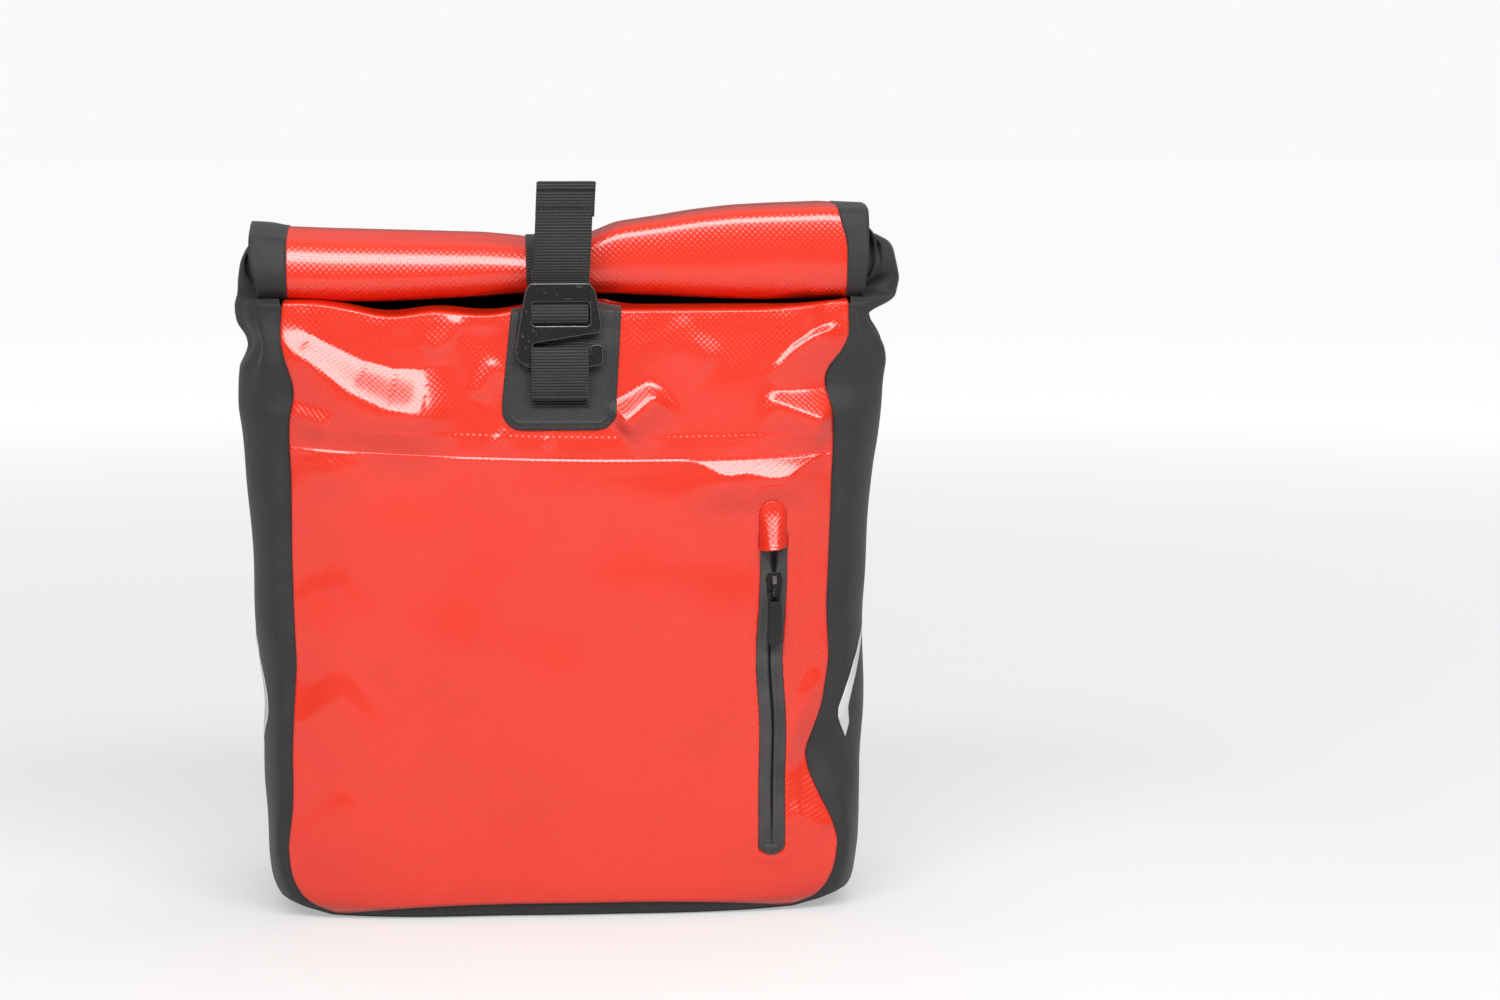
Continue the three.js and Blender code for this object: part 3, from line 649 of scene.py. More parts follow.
def make_faces():
    """The red pocket, the red panel above it, and the black wall behind the pocket."""
    pocket = face_grid(red_bottom, lambda x: lip_z(x) + 0.8, 230, 210, 0.5, 1.5)
    pocket[..., 1] -= pocket_relief(pocket[..., 0], pocket[..., 2])
    # The cloth sinks behind the zip's tapes, and it is cut away under them.
    height = pocket[..., 2]
    beside = np.abs(pocket[..., 0] - zip_centre(height))
    pocket[..., 1] += 1.4 * smooth((7.4 - beside) / 1.0) * smooth((height - 33) / 3) * (height < 204)
    centre = (pocket[:-1, :-1] + pocket[1:, 1:]) / 2
    x, z = centre[..., 0], centre[..., 2]
    under_zip = (np.abs(x - zip_centre(z)) < ZIP_HALF - 1.2) & (z > 35) & (z < 198)
    grid("pocket_panel_skin", pocket, RED, 0.9, keep=~under_zip, body="bag", replaces=["pocket_panel"])
    upper = face_grid(lambda x: lip_z(x) - 6, lambda x: FACE_TOP - roll_dip(x), 230, 140, 0.9, 1.5)
    above = upper[..., 2] - lip_z(upper[..., 0])
    upper[..., 1] -= 0.42 * (1 - smooth((above - BAND) / 2.0))
    grid("outer_panel_skin", upper, RED, 1.2, body="bag", replaces=["front_panel"])
    inner = face_grid(lambda x: 6 + 0 * x, lambda x: INNER_TOP + 0 * x, 60, 60)
    inset = np.clip(np.minimum(141 - np.abs(inner[..., 0]), inner[..., 2] - 8) / 25, 0, 1)
    inner[..., 1] += 1.6 + 7.0 * smooth(inset) * smooth((252 - inner[..., 2]) / 20)
    grid("inner_wall_skin", inner, BLACK, 0.9, body="bag")


# Where the points round a side lie, as shares of the way from the outer face to the rack side.
SIDE_DEPTHS = (0, 0.035, 0.14, 0.30, 0.62, 0.89, 0.99)


def side_points(z, side, count=40, out=0.0):
    """The side's points at heights z, from the weld round to the rack side, and on up into the ear."""
    z = np.asarray(z, float)
    column = 1 if side < 0 else 2
    tuck = smooth((z - NECK_Z) / 8)
    weld, wide = soft(z, WELD, column), soft(z, WIDE, column, np.where(z > 285, 2.0, 5.0))
    front = (1 - tuck) * (face_y(weld, np.minimum(z, NECK_Z)) + 0.2) + tuck * soft(z, DEPTH, 1, 3.0)
    back = soft(z, DEPTH, 2, 3.0)
    weld = weld + tuck * side * 3
    deep = back - front
    xs = (weld, weld + 0.52 * (wide - weld), wide - side * 1.5, wide + side * 0.5, wide, wide - side * 7,
          wide - side * 25)
    control = np.array([(x, front + share * deep) for x, share in zip(xs, SIDE_DEPTHS)])
    control = np.concatenate([2 * control[:1] - control[1:2], control, 2 * control[-1:] - control[-2:-1]])
    points = []
    for u in np.linspace(0, len(SIDE_DEPTHS) - 1.0001, count):
        points.append(spline(control[int(u):int(u) + 4], u - int(u)))
    x, y = np.stack(points, axis=-1)
    zz = np.repeat(z[:, None], count, axis=1)
    u = np.linspace(0, 1, count)[None, :]
    # Soft upright waves, and pleats that run down from the neck.
    wave = 0.8 * np.sin(zz / 21 + side + 3 * u) + 0.6 * np.sin(zz / 11 + 5 * u + 2 * side)
    neck = np.exp(-((zz - 306) / 20) ** 2)
    pleats = 2.2 * neck * np.sin(23 * u + 1.4 * side) + 1.0 * neck * np.sin(41 * u + zz / 9)
    body = np.sin(math.pi * u) ** 0.7
    hollow = 0.0
    if side > 0:
        hollow = 7 * np.exp(-((zz - 335 - 30 * (u - 0.2)) / 4.5) ** 2) * np.exp(-((u - 0.17) / 0.1) ** 2)
    x = x + side * ((wave + pleats) * body * 0.9 * np.clip(zz / 30, 0, 1) + out - 0.5 * hollow)
    return np.stack([x, y + hollow, zz], axis=2)


def make_sides():
    """Each side runs from the base up into the folds beside the roll."""
    rows = np.concatenate([[0, 1, 2.2, 4, 6, 9, 12], np.linspace(16, 284, 86), np.linspace(286.5, 360, 48)])
    for name, side in (("left", -1), ("right", 1)):
        points = side_points(rows, side, 56)
        skin = grid(f"side_{name}_skin", points, BLACK, 1.0, flip=side < 0, replaces=[f"side_{name}"])
        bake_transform(skin)


def base_outline(z):
    """The bag's outline seen from above, anticlockwise from the left weld."""
    left, right = side_points([z], -1)[0], side_points([z], 1)[0]
    xf = np.linspace(left[0, 0], right[0, 0], 62)[1:-1]
    front = np.stack([xf, face_y(xf, z + 0 * xf) + 0.4, z + 0 * xf], axis=1)
    xb = np.linspace(right[-1, 0], left[-1, 0], 50)[1:-1]
    back = np.stack([xb, soft(z, DEPTH, 2, 3.0) + 0 * xb, z + 0 * xb], axis=1)
    return np.concatenate([front, right, back, left[::-1]])


def make_base():
    """The black base: its rounded rim, and its sole in rings that close on the middle."""
    rows = [base_outline(z) for z in (11, 9, 7, 5, 3.4, 2.2, 1.2, 0.5, 0.0)]
    foot = rows[-1]
    centre = foot.mean(axis=0)
    for k in (0.96, 0.8, 0.5, 0.2, 0.02):
        ring = centre + (foot - centre) * k
        ring[:, 2] = 0
        rows.append(ring)
    grid("base_skin", np.array(rows), BLACK, 1.0, wrap=True, flip=True, body="bag", replaces=["base_panel"])


def make_back():
    """The rack side, between the edges of the two sides that wrap round onto it."""
    zz, uu = np.meshgrid(np.concatenate([[3, 5, 8, 12], np.linspace(18, 291, 70)]), np.linspace(-1, 1, 70),
                         indexing="ij")
    left, right = soft(zz, WIDE, 1) + 22, soft(zz, WIDE, 2) - 22
    x = (left + right) / 2 + uu * (right - left) / 2
    points = np.stack([x, soft(np.minimum(zz, 288), DEPTH, 2, 3.0) + 0.2, zz], axis=2)
    grid("back_panel_skin", points, BLACK, 1.0, flip=True, body="bag", replaces=["back_panel"])


make_faces()
make_sides()
make_base()
make_back()

# ---------------------------------------------------------------- rolled mouth
# x along the roll, then the heights of its top and its underside.
ROLL_HEIGHTS = np.array([
    (-165, 366.6, 327.5), (-150, 365.8, 327), (-144, 364.2, 326.6), (-120, 363.2, 325), (-105, 362.8, 325),
    (-75, 362, 326), (-40, 361, 328), (-24, 359.6, 329.3), (-8, 357.4, 329.6), (6, 357.6, 329.6),
    (17, 361, 329.4), (30, 366.4, 329), (52, 369.6, 327.8), (70, 372.6, 326.8), (91, 375, 325.8),
    (110, 376, 325.2), (140, 377, 325.1), (150, 376.4, 325.6), (165, 375.4, 327)], float)
ROLL_MIDDLE = (-40.0, 346.0)


def roll_loop(turn, x):
    """y and z on the roll's outer layer, which runs from its back over the top and down the front."""
    top, under = soft(x, ROLL_HEIGHTS, 1, 4.0), soft(x, ROLL_HEIGHTS, 2, 4.0)
    h = top - under
    lean = smooth((14 - x) / 30)  # the left half's outer side leans back, the right half's is upright
    wobble = 0.5 * np.sin(x / 27) + 0.4 * np.sin(x / 12 + 1)
    control = [
        (-6.5, under + 0.52 * h), (-12, under + 0.84 * h), (-27, top - 0.4), (-45, top),
        (-61 + 2 * lean, top - (0.02 + 0.07 * lean) * h),
        (-71.6 + 2.6 * lean + 0.4 * wobble, top - (0.11 + 0.10 * lean) * h),
        (-74.4 + 0.4 * lean + 0.4 * wobble, top - (0.48 + 0.06 * lean) * h),
        (-72.4, under + 0.20 * h), (-64, under + 0.035 * h), (-46, under), (-22, under + 0.03 * h),
        (-10, under + 0.2 * h)]
    control = [np.array(np.broadcast_arrays(np.asarray(y, float), z)) for y, z in control]
    at = (turn % 1) * len(control)
    i = int(at)
    four = np.array([control[(i + k) % len(control)] for k in (-1, 0, 1, 2)])
    return spline(four, at - i)


def roll_layer(turn, x, grow=0.0):
    """A point of the rolled cloth, which winds inward after its first turn."""
    y, z = roll_loop(turn, x)
    inward = 1 - 0.115 * np.clip(turn - 0.72, 0, None)
    far = np.hypot(y - ROLL_MIDDLE[0], z - ROLL_MIDDLE[1])
    inward = inward + grow / far
    return ROLL_MIDDLE[0] + (y - ROLL_MIDDLE[0]) * inward, ROLL_MIDDLE[1] + (z - ROLL_MIDDLE[1]) * inward


def make_roll():
    """The red roll and its two black ends, each wound more than twice."""
    turns = np.concatenate([np.linspace(0, 0.95, 110), np.linspace(0.96, 2.4, 76)])
    for name, node, material, x0, x1, taper, grow in (
            ("roll_red", "mouth_roll", RED, -142.6, 151.0, 0, 0.0),
            ("roll_end_left_skin", "roll_end_left", BLACK, -161.2, -141.8, 4.0, 0.55),
            ("roll_end_right_skin", "roll_end_right", BLACK, 150.1, 161.5, 2.0, 0.55)):
        even = np.linspace(x0, x1, max(9, int((x1 - x0) / 1.8)))
        share = (even - x0) / (x1 - x0)
        outer = share if x0 > 0 else 1 - share
        # The right-hand weld leans in towards the roll's top, and both pieces follow it.
        lean = {"mouth_roll": share**30, "roll_end_right": 1 - outer}.get(node, 0 * share)
        columns = []
        for turn in turns:
            y, z = roll_layer(turn, even, grow)
            # The end's cut edge runs in towards the roll's underside.
            x = even - np.sign(x0) * taper * smooth((352 - z) / 24) * outer
            x = x - 5.0 * smooth((z - 352) / 26) * lean
            columns.append(np.stack([x, y, z], axis=1))
        grid(name, np.array(columns).transpose(1, 0, 2), material, 1.1, body="roll_top", replaces=[node])


def make_mouth_back():
    """The fabric that slopes from the rack side up to the roll."""
    slope = [(80.4, 284), (80, 291), (72, 299.4), (40, 316.4), (12, 332.4), (-6, 343.6), (-13, 351)]
    path, along = resample(slope, 2.0)
    rows = []
    for (y, z), s in zip(path, along):
        share = s / along[-1]
        half = 149.5 + 9 * smooth(share)
        x = np.linspace(-half, half, 146)
        edge = np.clip(np.abs(x) - 138, 0, None) / (half - 138)
        middle = math.sin(math.pi * share)
        fold = 0.8 * np.sin(x / 6 + 2 * np.sin(x / 27)) * share**2 + 1.2 * np.sin(x / 34 + 1) * middle
        drop = 5 * edge**2 * middle
        rows.append(np.stack([x, y + 0 * x, z + fold - drop + 0.6], axis=1))
    skin = grid("mouth_back_skin", np.array(rows), BLACK, 1.0, flip=True, replaces=["mouth_back"])
    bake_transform(skin)


def make_ears():
    """The layers of the gusset's folds between the roll's ends and the ears."""
    # The side, x where a fold begins, how far it reaches, its lower and upper edge, and y of its front.
    leaves = [(1, 161.5, 8.5, 336, 362, -61), (1, 161.0, 5.0, 333, 366, -66), (-1, 160, 4.5, 334, 354, -62)]
    for i, (side, x, reach, low, high, front) in enumerate(leaves):
        tt, vv = np.meshgrid(np.linspace(-1, 1, 26), np.linspace(0, 1, 22), indexing="ij")
        nose = np.sqrt(np.clip(1 - np.abs(tt) ** 3.2, 0, 1))
        px = side * (x - 8 + (8 + reach) * nose * (1 - 0.1 * vv))
        py = front + 5 * (1 - nose) + 46 * vv
        pz = (low + high) / 2 + (high - low) / 2 * tt - 6 * vv + 0.8 * np.sin(3 * vv + i)
        name = f"fold_{'left' if side < 0 else 'right'}_{i + 1}"
        grid(name, np.stack([px, py, pz], axis=2), BLACK, 1.1, offset=0, body="roll_top")


make_roll()
make_mouth_back()
make_ears()

# ---------------------------------------------------------------- strap, hook, loop and patch
STRAP_X = -3.0  # the strap lies a little to one side of its tail


def over_roll(start, end, count, lift):
    """Points (y, z) that lie a little above the roll's outer layer."""
    points = []
    for turn in np.linspace(start, end, count):
        y, z = roll_layer(turn, np.array([STRAP_X]))
        dy, dz = y[0] - ROLL_MIDDLE[0], z[0] - ROLL_MIDDLE[1]
        far = math.hypot(dy, dz)
        points.append((y[0] + lift * dy / far, z[0] + lift * dz / far))
    return points


def make_strap():
    """The strap over the roll, its end at the hook's slot, and the tail that stands up with its hem."""
    line = [(81.8, 279), (82.2, 290), (74, 301.4), (40, 319.4), (12, 335.2)] + over_roll(0.06, 0.58, 12, 1.5)
    strap = ribbon("closing_strap_skin", line, replaces=["closing_strap"], x0=STRAP_X)
    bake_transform(strap)
    lower = [over_roll(0.56, 0.56, 1, 1.6)[0], (-78.2, 342), (-81.8, 335.4), (-82.9, 328), (-83.4, 321),
             (-85, 316.8), (-87.4, 315.6)]
    end = ribbon("strap_end_skin", lower, replaces=["strap_end"], x0=-0.8, width=29.0)
    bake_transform(end)

    def flare(x, y, z):
        """The tail leans a little to the right as it rises."""
        return x + 3.2 * np.clip((z - 320) / 68, 0, 1) - 0.9, y, z

    tail = [(-87.4, 315.6), (-89.4, 317.2), (-90.2, 320.4), (-88.6, 324.2), (-85.9, 327.6), (-84.9, 332),
            (-85.5, 338), (-88.4, 345.5), (-90.4, 355), (-90.6, 372), (-90.0, 387)]
    upright = ribbon("strap_tail_skin", tail, replaces=["strap_tail"], shape=flare, width=29.6)
    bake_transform(upright)
    hem = [(-91.4, 384.6), (-90.6, 387.7), (-89.2, 387.9), (-88.2, 386.6), (-88.3, 380), (-88.8, 370.6)]
    ribbon("tail_hem", hem, width=30.6, thick=1.4, body="strap_tail", x0=0.5, shape=flare)
    make_stitches("hem_stitch", -11.4, 14.2, 375.6, "strap_tail")


# The stitches on the tail's hem and on the loop.
STITCH_PITCH, STITCH_LENGTH, STITCH_RADIUS, STITCH_Y = 2.5, 2.0, 0.3, -92.1


def make_stitches(name, x0, x1, z, body):
    """A level row of short thread stitches as one piece; each stitch dips into the webbing at both ends."""
    verts, faces = [], []
    rings, sides = 6, 6
    for x in np.arange(x0, x1, STITCH_PITCH):
        base = len(verts)
        for t in np.linspace(-1, 1, rings):
            radius = STITCH_RADIUS * math.sqrt(max(0.05, 1 - abs(t) ** 3))
            for k in range(sides):
                w = 2 * math.pi * k / sides
                verts.append((x + t * STITCH_LENGTH / 2, STITCH_Y - radius * math.sin(w) + 0.3 * t * t,
                              z - radius * math.cos(w)))
        faces += [tuple(base + corner for corner in face) for face in grid_faces(rings, sides, wrap=True)]
        faces.append(tuple(base + k for k in range(sides))[::-1])
        faces.append(tuple(base + (rings - 1) * sides + k for k in range(sides)))
    turn_outward(finish_mesh(name, verts, faces, THREAD, body=body))


def make_hook():
    """The flat hook: a wedge with a slot for the strap, a slanted throat and a lower bar with a knob."""
    outline = soften_corners([
        (-16.2, 336.4, 1.2), (14.6, 336.4, 1.2), (17.8, 332.0, 2.0), (20.8, 313.6, 1.6), (19.4, 310.8, 1.1),
        (-14.6, 305.4, 1.4), (-15.2, 299.9, 1.0), (14.4, 299.9, 0.6), (14.9, 304.6, 2.2), (21.2, 304.8, 2.6),
        (21.6, 294.0, 3.2), (14, 292.9, 1.0), (-18.2, 292.9, 1.4), (-23.8, 297.8, 1.6), (-24.0, 302.0, 2.0),
        (-18.8, 332.2, 2.0)])
    slot_hole = rounded(-15.2, 14.8, 314.4, 326.6, 1.8, 3)
    front, back = -89.9, -86.2
    hook = plate("g_hook_skin", outline, slot_hole, front, back, ANODISED, body="buckle", replaces=["g_hook"])
    edges = round_edges(hook, 0.5, 2, 35)
    edges.use_clamp_overlap = False
    # The hook's rounded edges are a paler metal all round: some wear, and a painted highlight along the
    # edges.
    hook.data.materials.append(EDGE_WEAR_AND_SHEEN)
    edges.material = 1


def make_loop():
    """The sewn loop round the hook's lower bar, and the layer behind it."""
    backing = [(-85.0, 272), (-84.6, 286), (-84.6, 300), (-84.8, 311)]
    ribbon("loop_backing", backing, x0=-0.8, width=29.4, body="bag")
    line = [(-86.6, 276), (-86.8, 284), (-86.6, 292), (-86.2, 298), (-87.0, 301.4), (-88.8, 302.4),
            (-90.6, 301.2), (-91.4, 297.4), (-91.3, 291), (-91.0, 284), (-90.8, 278.6), (-90.4, 277.2),
            (-89.2, 276.4)]
    ribbon("lower_loop_skin", line, body="bag", replaces=["lower_loop"], x0=-1.1)
    for row, z in enumerate((279.6, 283.4)):
        make_stitches(f"loop_stitch_{row + 1}", -13.6, 12.4, z, "bag")


def make_patch():
    """The reinforcement under the hook: its sides draw in towards the top, and a rib runs inside its edge."""
    u, v = np.meshgrid(np.linspace(-1, 1, 90), np.linspace(0, 1, 110))
    low, radius = 259.8, 10.5
    high = FACE_TOP - roll_dip(28.6 * u) - 0.9
    z = low + (high - low) * v
    left, right = np.interp(z, (275, 325), (-31.0, -25.7)), np.interp(z, (275, 325), (28.4, 31.4))
    inset_z = z - low
    round_corner = radius - np.sqrt(np.clip(radius**2 - (radius - inset_z) ** 2, 0, None))
    half = (right - left) / 2 - np.where(inset_z < radius, round_corner, 0)
    middle = (left + right) / 2
    x = middle + u * half
    inset_x = (right - left) / 2 - np.abs(x - middle)
    inset = np.minimum(inset_x, inset_z)
    corner = (inset_x < radius) & (inset_z < radius)
    inset = np.where(corner, radius - np.hypot(radius - inset_x, radius - inset_z), inset)
    rib = 0.3 * smooth((inset - 2.6) / 0.8) + 0.35 * np.exp(-((inset - 3.6) / 0.8) ** 2)
    rib = rib - 0.5 * (1 - smooth(inset / 1.2))
    # It bridges the cloth's folds, and lies tight against the cloth near the roll.
    face = face_y(x, z)
    even = soft(z + 2.0, DEPTH, 1, 3.0) - 2.3
    tight = smooth((z - 302) / 12)
    y = (1 - tight) * np.minimum(0.5 * (face - 2.3) + 0.5 * even, face - 1.9) + tight * (face - 1.9) - rib
    grid("buckle_patch_skin", np.stack([x, y, z], axis=2), PATCH, 1.2, body="bag", replaces=["buckle_patch"])


make_strap()
make_hook()
make_loop()
make_patch()

# ---------------------------------------------------------------- pocket zip
def pocket_face(x, z):
    """y of the pocket's face."""
    return face_y(x, z) - 0.5 - pocket_relief(np.asarray(x, float), np.asarray(z, float))


def make_zip():
    """The two tapes, parted above the slider, with the coil's ribs pressed through their film."""
    z = np.arange(ZIP_LOW, ZIP_TOP, 0.36)
    for name, side in (("left", -1), ("right", 1)):
        columns = []
        gap = 0.12 * smooth((z - 38) / 10) + 1.0 * smooth((z - SLIDER_Z - 4) / 9) * smooth((204 - z) / 8)
        end = np.sqrt(np.clip(1 - np.clip((ZIP_LOW + 6.4 - z) / 6.4, 0, 1) ** 2, 0.02, 1))
        teeth = np.abs(np.sin(math.pi * z / 1.5)) * smooth((z - 66) / 50)
        centre = zip_centre(z)
        for k in np.linspace(0, 1, 16):
            w = gap * (1 - k) + np.maximum((ZIP_HALF + 0.9) * end, gap + 0.05) * k
            coil = np.exp(-((w - gap - 1.6) / 1.2) ** 2)
            ribs = teeth * np.exp(-((w - gap - 2.1) / 1.3) ** 4)
            rise = 0.55 * coil + 0.36 * ribs - 0.9 * smooth((z - 40) / 22) * np.exp(-((w - gap) / 0.5) ** 2)
            hem = 0.7 * smooth((w - 6.5) / 0.8) * smooth((z - ZIP_LOW) / 4)
            y = pocket_face(centre + side * w, z) - 0.35 - rise + hem
            columns.append(np.stack([centre + side * w, y, z], axis=1))
        grid(f"zip_tape_{name}_skin", np.stack(columns, axis=1), ZIP_FILM, 0.8, flip=side < 0, body="bag",
             replaces=[f"zip_tape_{name}"])
    # A sheet of the black cloth just behind the parted zip: the pocket's inside, and painted shade in the
    # gap.
    zz, xx = np.meshgrid(np.linspace(150, ZIP_TOP, 30), ZIP_X + np.linspace(-5.5, 5.5, 9), indexing="ij")
    grid("zip_shadow", np.stack([xx, pocket_face(xx, zz) + 2.2, zz], axis=2), BLACK, 0.6, body="bag")


def make_garage():
    """The moulded hood over the top of the zip, open at its lower end."""
    u, v = np.meshgrid(np.linspace(-1, 1, 41), np.linspace(0, 1, 50))
    low, height, middle, half_width = 196.6, 25.2, 110.4, 7.3
    z = low + height * v + 0.9 * u * (1 - v)
    half = half_width * np.sqrt(np.clip(1 - np.clip((z - 214.4) / 7.6, 0, 1) ** 2, 0.0004, 1))
    x = middle + u * half
    dome = (1 - np.abs(u) ** 2.4) ** 0.7 * np.clip((222.6 - z) / 26, 0, 1)
    hem = 0.4 * (1 - smooth((z - 197.5) / 1.5))
    y = pocket_face(x, z) - 0.5 - 10.8 * dome - hem
    grid("zip_garage_skin", np.stack([x, y, z], axis=2), RED, 0.9, body="bag", replaces=["zip_garage"])


def make_zip_stop():
    """The small raised stop at the zip's lower end."""
    u, v = np.meshgrid(np.linspace(-1, 1, 13), np.linspace(-1, 1, 9))
    x, z = zip_centre(35.6) + 4.2 * u, 36.2 + 1.8 * v
    y = pocket_face(x, z) - 0.5 - 0.5 * np.sqrt(np.clip(1 - u**4, 0, 1)) * np.sqrt(np.clip(1 - v**4, 0, 1))
    grid("zip_stop_skin", np.stack([x, y, z], axis=2), ZIP_FILM, 0.8, body="bag", replaces=["zip_stop"])


make_zip()
make_garage()
make_zip_stop()

# ---------------------------------------------------------------- reflectors
# Height, then where the chevron's leading edge lies on the side's girth, and its width along the girth.
CHEVRON = np.array([
    (92, 0.215, 0), (96, 0.19, 0.03), (100, 0.162, 0.062), (104, 0.135, 0.075), (109, 0.122, 0.072),
    (113, 0.128, 0.068), (120, 0.15, 0.06), (133, 0.205, 0.048), (143, 0.27, 0.03), (153, 0.35, 0)], float)


def make_reflectors():
    """A printed chevron on each side, laid on the side's own surface."""
    z = np.linspace(92.2, 152.8, 80)
    for name, side, shift in (("left", -1, 0.15), ("right", 1, 0.0)):
        base = side_points(z, side, 120, 0.5)
        start = np.interp(z, CHEVRON[:, 0], CHEVRON[:, 1]) + shift
        width = np.interp(z, CHEVRON[:, 0], CHEVRON[:, 2])
        girth = np.linspace(0, 1, 120)
        rows = []
        for j in range(len(z)):
            s = start[j] + width[j] * np.linspace(0, 1, 12)
            rows.append(np.stack([np.interp(s, girth, base[j, :, k]) for k in range(3)], axis=1))
        points = np.array(rows)
        points[..., 1] -= 0.3
        grid(f"reflector_{name}_skin", points, REFLECT, 0.25, flip=side < 0, body="bag",
             replaces=[f"reflector_{name}"])


make_reflectors()

# ---------------------------------------------------------------- handle and anchor on the rack side
def make_handle():
    """The webbing that bridges the two catches."""
    middle = 105.0

    def across(x, y, z):
        """The band runs along x, and its width lies along y."""
        return y, middle + x, z

    line = [(-56, 244), (-55.6, 262), (-51.5, 272.6), (-38, 278.8), (0, 279.6), (38, 278.8), (51.5, 272.6),
            (55.6, 262), (56, 244)]
    ribbon("carry_handle_skin", line, width=24, thick=2.0, body="handle", replaces=["carry_handle"],
           shape=across)


def make_anchor():
    """The short piece of webbing that holds the strap to the back."""
    ribbon("strap_anchor_skin", [(83.2, 276.4), (83.3, 283), (83.2, 291)], width=34, thick=1.3, body="bag",
           replaces=["strap_anchor"], x0=-1.0)


make_handle()
make_anchor()

# ---------------------------------------------------------------- hard parts, with their edges rounded
FINE = {
    "mounting_rail": (HARD, 0.8), "lower_rail": (HARD, 0.7),
    "hook_left": (HARD, 0.8), "hook_right": (HARD, 0.8),
    "hook_insert_left": (GREY, 0.4), "hook_insert_right": (GREY, 0.4), "latch_left": (GREY, 0.5),
    "latch_right": (GREY, 0.5), "lower_carriage": (HARD, 0.6), "lower_hook": (HARD, 0.7),
    "zip_slider": (GUNMETAL, 0.35), "zip_pull": (PULL, 0.4), "handle_grip": (PULL, 0.9),
}


def make_fine(node, material, width):
    """A copy of a hard part with rounded edges."""
    source = frame["nodes"][node]
    bm = bmesh.new()
    bm.from_mesh(source.data)
    bmesh.ops.remove_doubles(bm, verts=bm.verts, dist=1e-6)
    bmesh.ops.dissolve_limit(bm, angle_limit=math.radians(1), verts=bm.verts, edges=bm.edges)
    mesh = bpy.data.meshes.new(node + "_fine")
    bm.to_mesh(mesh)
    bm.free()
    obj = new_object(node + "_fine", mesh, material, body=source["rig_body"], replaces=[node])
    round_edges(obj, width, 3, 30)


for node_name, (look, edge_width) in FINE.items():
    make_fine(node_name, look, edge_width)

# ---------------------------------------------------------------- looks of the CAD pieces that stay
LOOKS = {"back_stiffener": SHEET_PLASTIC, "mouth_stiffener": SHEET_PLASTIC}
for node_name, node_object in frame["nodes"].items():
    for material_slot in node_object.material_slots:
        material_slot.material = LOOKS.get(node_name, STEEL)


# ---------------------------------------------------------------- floor, light and camera
def make_stage():
    """A wide pale floor, just under the bag, that runs into the pale background far away."""
    mesh = bpy.data.meshes.new("floor")
    size, level = 30, -0.0006
    mesh.from_pydata([(-size, -size, level), (size, -size, level), (size, size, level), (-size, size, level)],
                     [], [(0, 1, 2, 3)])
    floor = bpy.data.objects.new("floor", mesh)
    bpy.context.scene.collection.objects.link(floor)
    n = Nodes("pale_floor")
    # The floor looks paler than the light it throws back, and it runs into the background far from the bag.
    seen = n.add("LightPath").outputs["Is Camera Ray"]
    pale = n.math("ADD", n.spread(seen, 0.52, 0.45), n.spread(n.noise(2, 2), -0.01, 0.01))
    colour = n.add("CombineColor", {0: pale, 1: pale, 2: pale}).outputs[0]
    far = n.add("VectorMath", {0: n.place}, operation="LENGTH").outputs["Value"]
    away = n.add("MapRange", {"Value": far, "From Min": 0.5, "From Max": 3.0}).outputs[0]
    glow = n.add("Mix", {0: seen, 2: n.spread(away, 0.056, 0.0), 3: n.spread(away, 0.4, 0.83)}).outputs[0]
    mesh.materials.append(n.set(Base_Color=colour, Roughness=0.8, Specular_IOR_Level=0.1,
                                Emission_Color=(1, 1, 1, 1), Emission_Strength=glow))


def area_light(name, place, aim, size, power, size_y=None, shines=True):
    """A square or oblong lamp aimed at a point; one that doesn't shine makes no highlights."""
    light = bpy.data.lights.new(name, "AREA")
    light.energy = power
    light.size = size
    if size_y:
        light.shape = "RECTANGLE"
        light.size_y = size_y
    obj = bpy.data.objects.new(name, light)
    obj.location = place
    obj.rotation_euler = (Vector(aim) - Vector(place)).to_track_quat("-Z", "Y").to_euler()
    obj.visible_glossy = shines
    bpy.context.scene.collection.objects.link(obj)


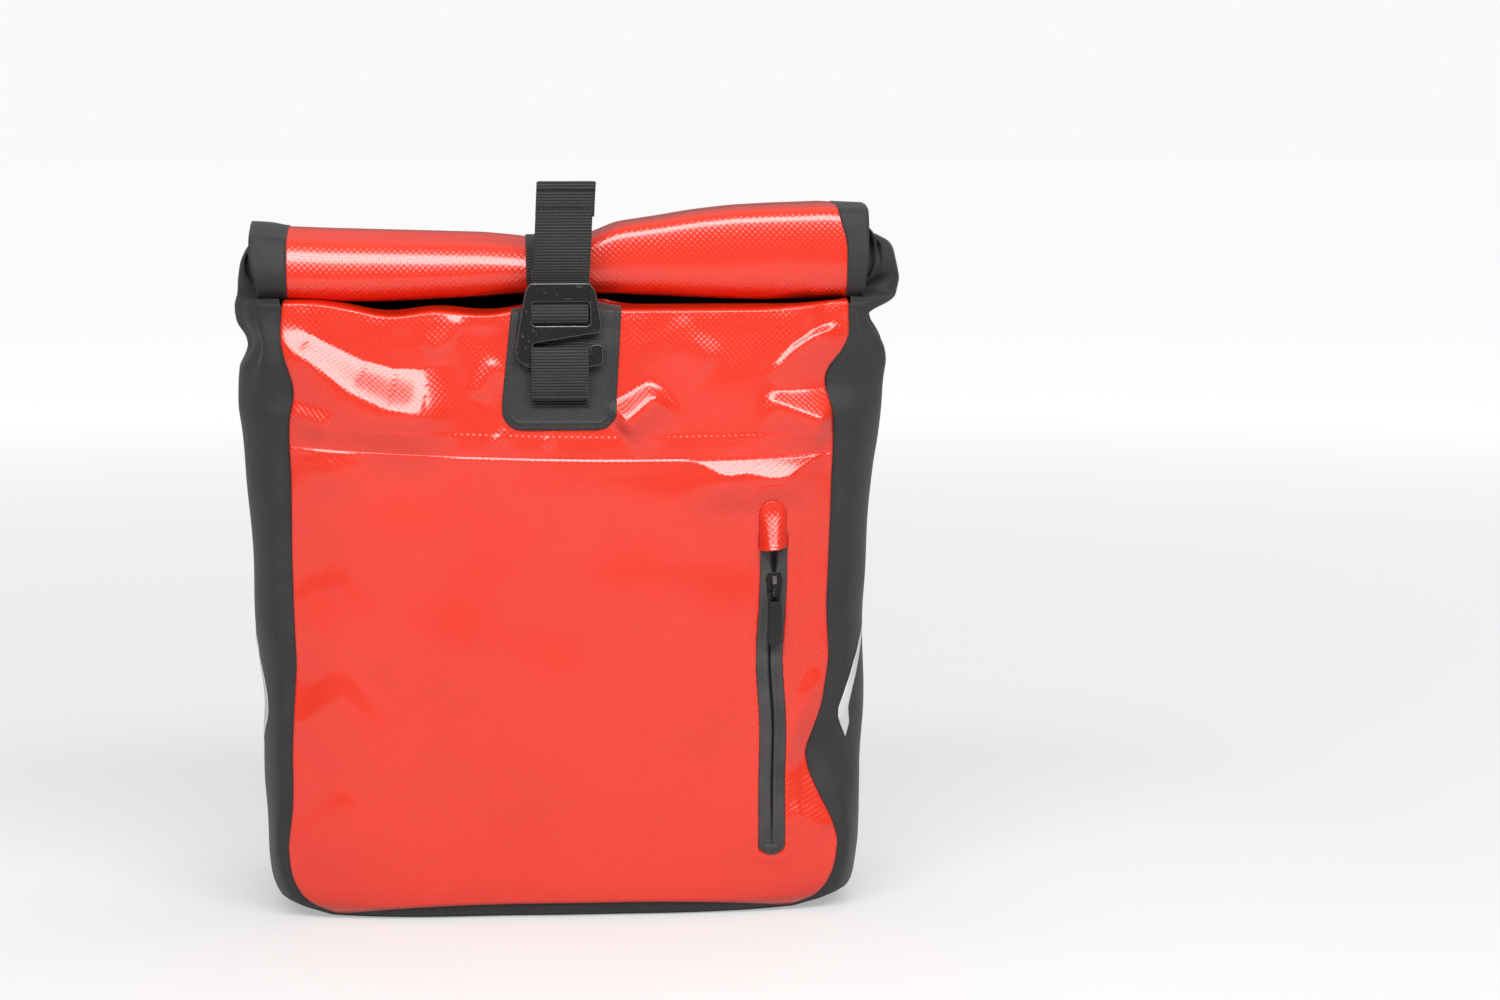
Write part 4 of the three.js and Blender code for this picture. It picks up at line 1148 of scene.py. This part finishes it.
def make_lights():
    """A pale room, a wide softbox in front of the bag and above it, and a weak lamp behind."""
    world = bpy.data.worlds.new("studio")
    world.use_nodes = True
    nodes, links = world.node_tree.nodes, world.node_tree.links
    seen, cast = nodes["Background"], nodes.new("ShaderNodeBackground")
    seen.inputs[0].default_value = (1, 1, 1, 1)
    seen.inputs[1].default_value = 0.955
    # The room is brighter overhead than at eye level.
    direction = nodes.new("ShaderNodeTexCoord").outputs["Generated"]
    split, rise = nodes.new("ShaderNodeSeparateXYZ"), nodes.new("ShaderNodeMapRange")
    links.new(direction, split.inputs[0])
    links.new(split.outputs["Z"], rise.inputs["Value"])
    for socket, value in (("From Min", 0.05), ("From Max", 0.9), ("To Min", 0.17), ("To Max", 0.42)):
        rise.inputs[socket].default_value = value
    links.new(rise.outputs[0], cast.inputs[1])
    mix, path = nodes.new("ShaderNodeMixShader"), nodes.new("ShaderNodeLightPath")
    links.new(path.outputs["Is Camera Ray"], mix.inputs[0])
    links.new(cast.outputs[0], mix.inputs[1])
    links.new(seen.outputs[0], mix.inputs[2])
    links.new(mix.outputs[0], nodes["World Output"].inputs["Surface"])
    bpy.context.scene.world = world
    bpy.context.scene.view_settings.view_transform = "Standard"
    area_light("softbox", (0.05, -1.75, 1.72), (0, -0.05, 0.25), 3.2, 73, 0.7)
    area_light("top", (0.2, 0.5, 1.9), (0, 0, 0.2), 1.2, 11, shines=False)


def make_camera():
    """Seen from in front and a little above; the bag stands left of the picture's middle."""
    yaw, tilt, distance, height = math.radians(4.5), math.radians(6.5), 1.73, 0.42
    across = 0.098
    c, s = math.cos(yaw), math.sin(yaw)
    camera = bpy.data.cameras.new("camera")
    camera.lens = 80
    camera.sensor_width = 36
    camera.clip_start = 0.05
    obj = bpy.data.objects.new("camera", camera)
    obj.location = (across * c - distance * s, -0.081 - across * s - distance * c, height)
    obj.rotation_euler = (math.pi / 2 - tilt, 0, -yaw)
    bpy.context.scene.collection.objects.link(obj)
    bpy.context.scene.camera = obj


make_stage()
make_lights()
make_camera()
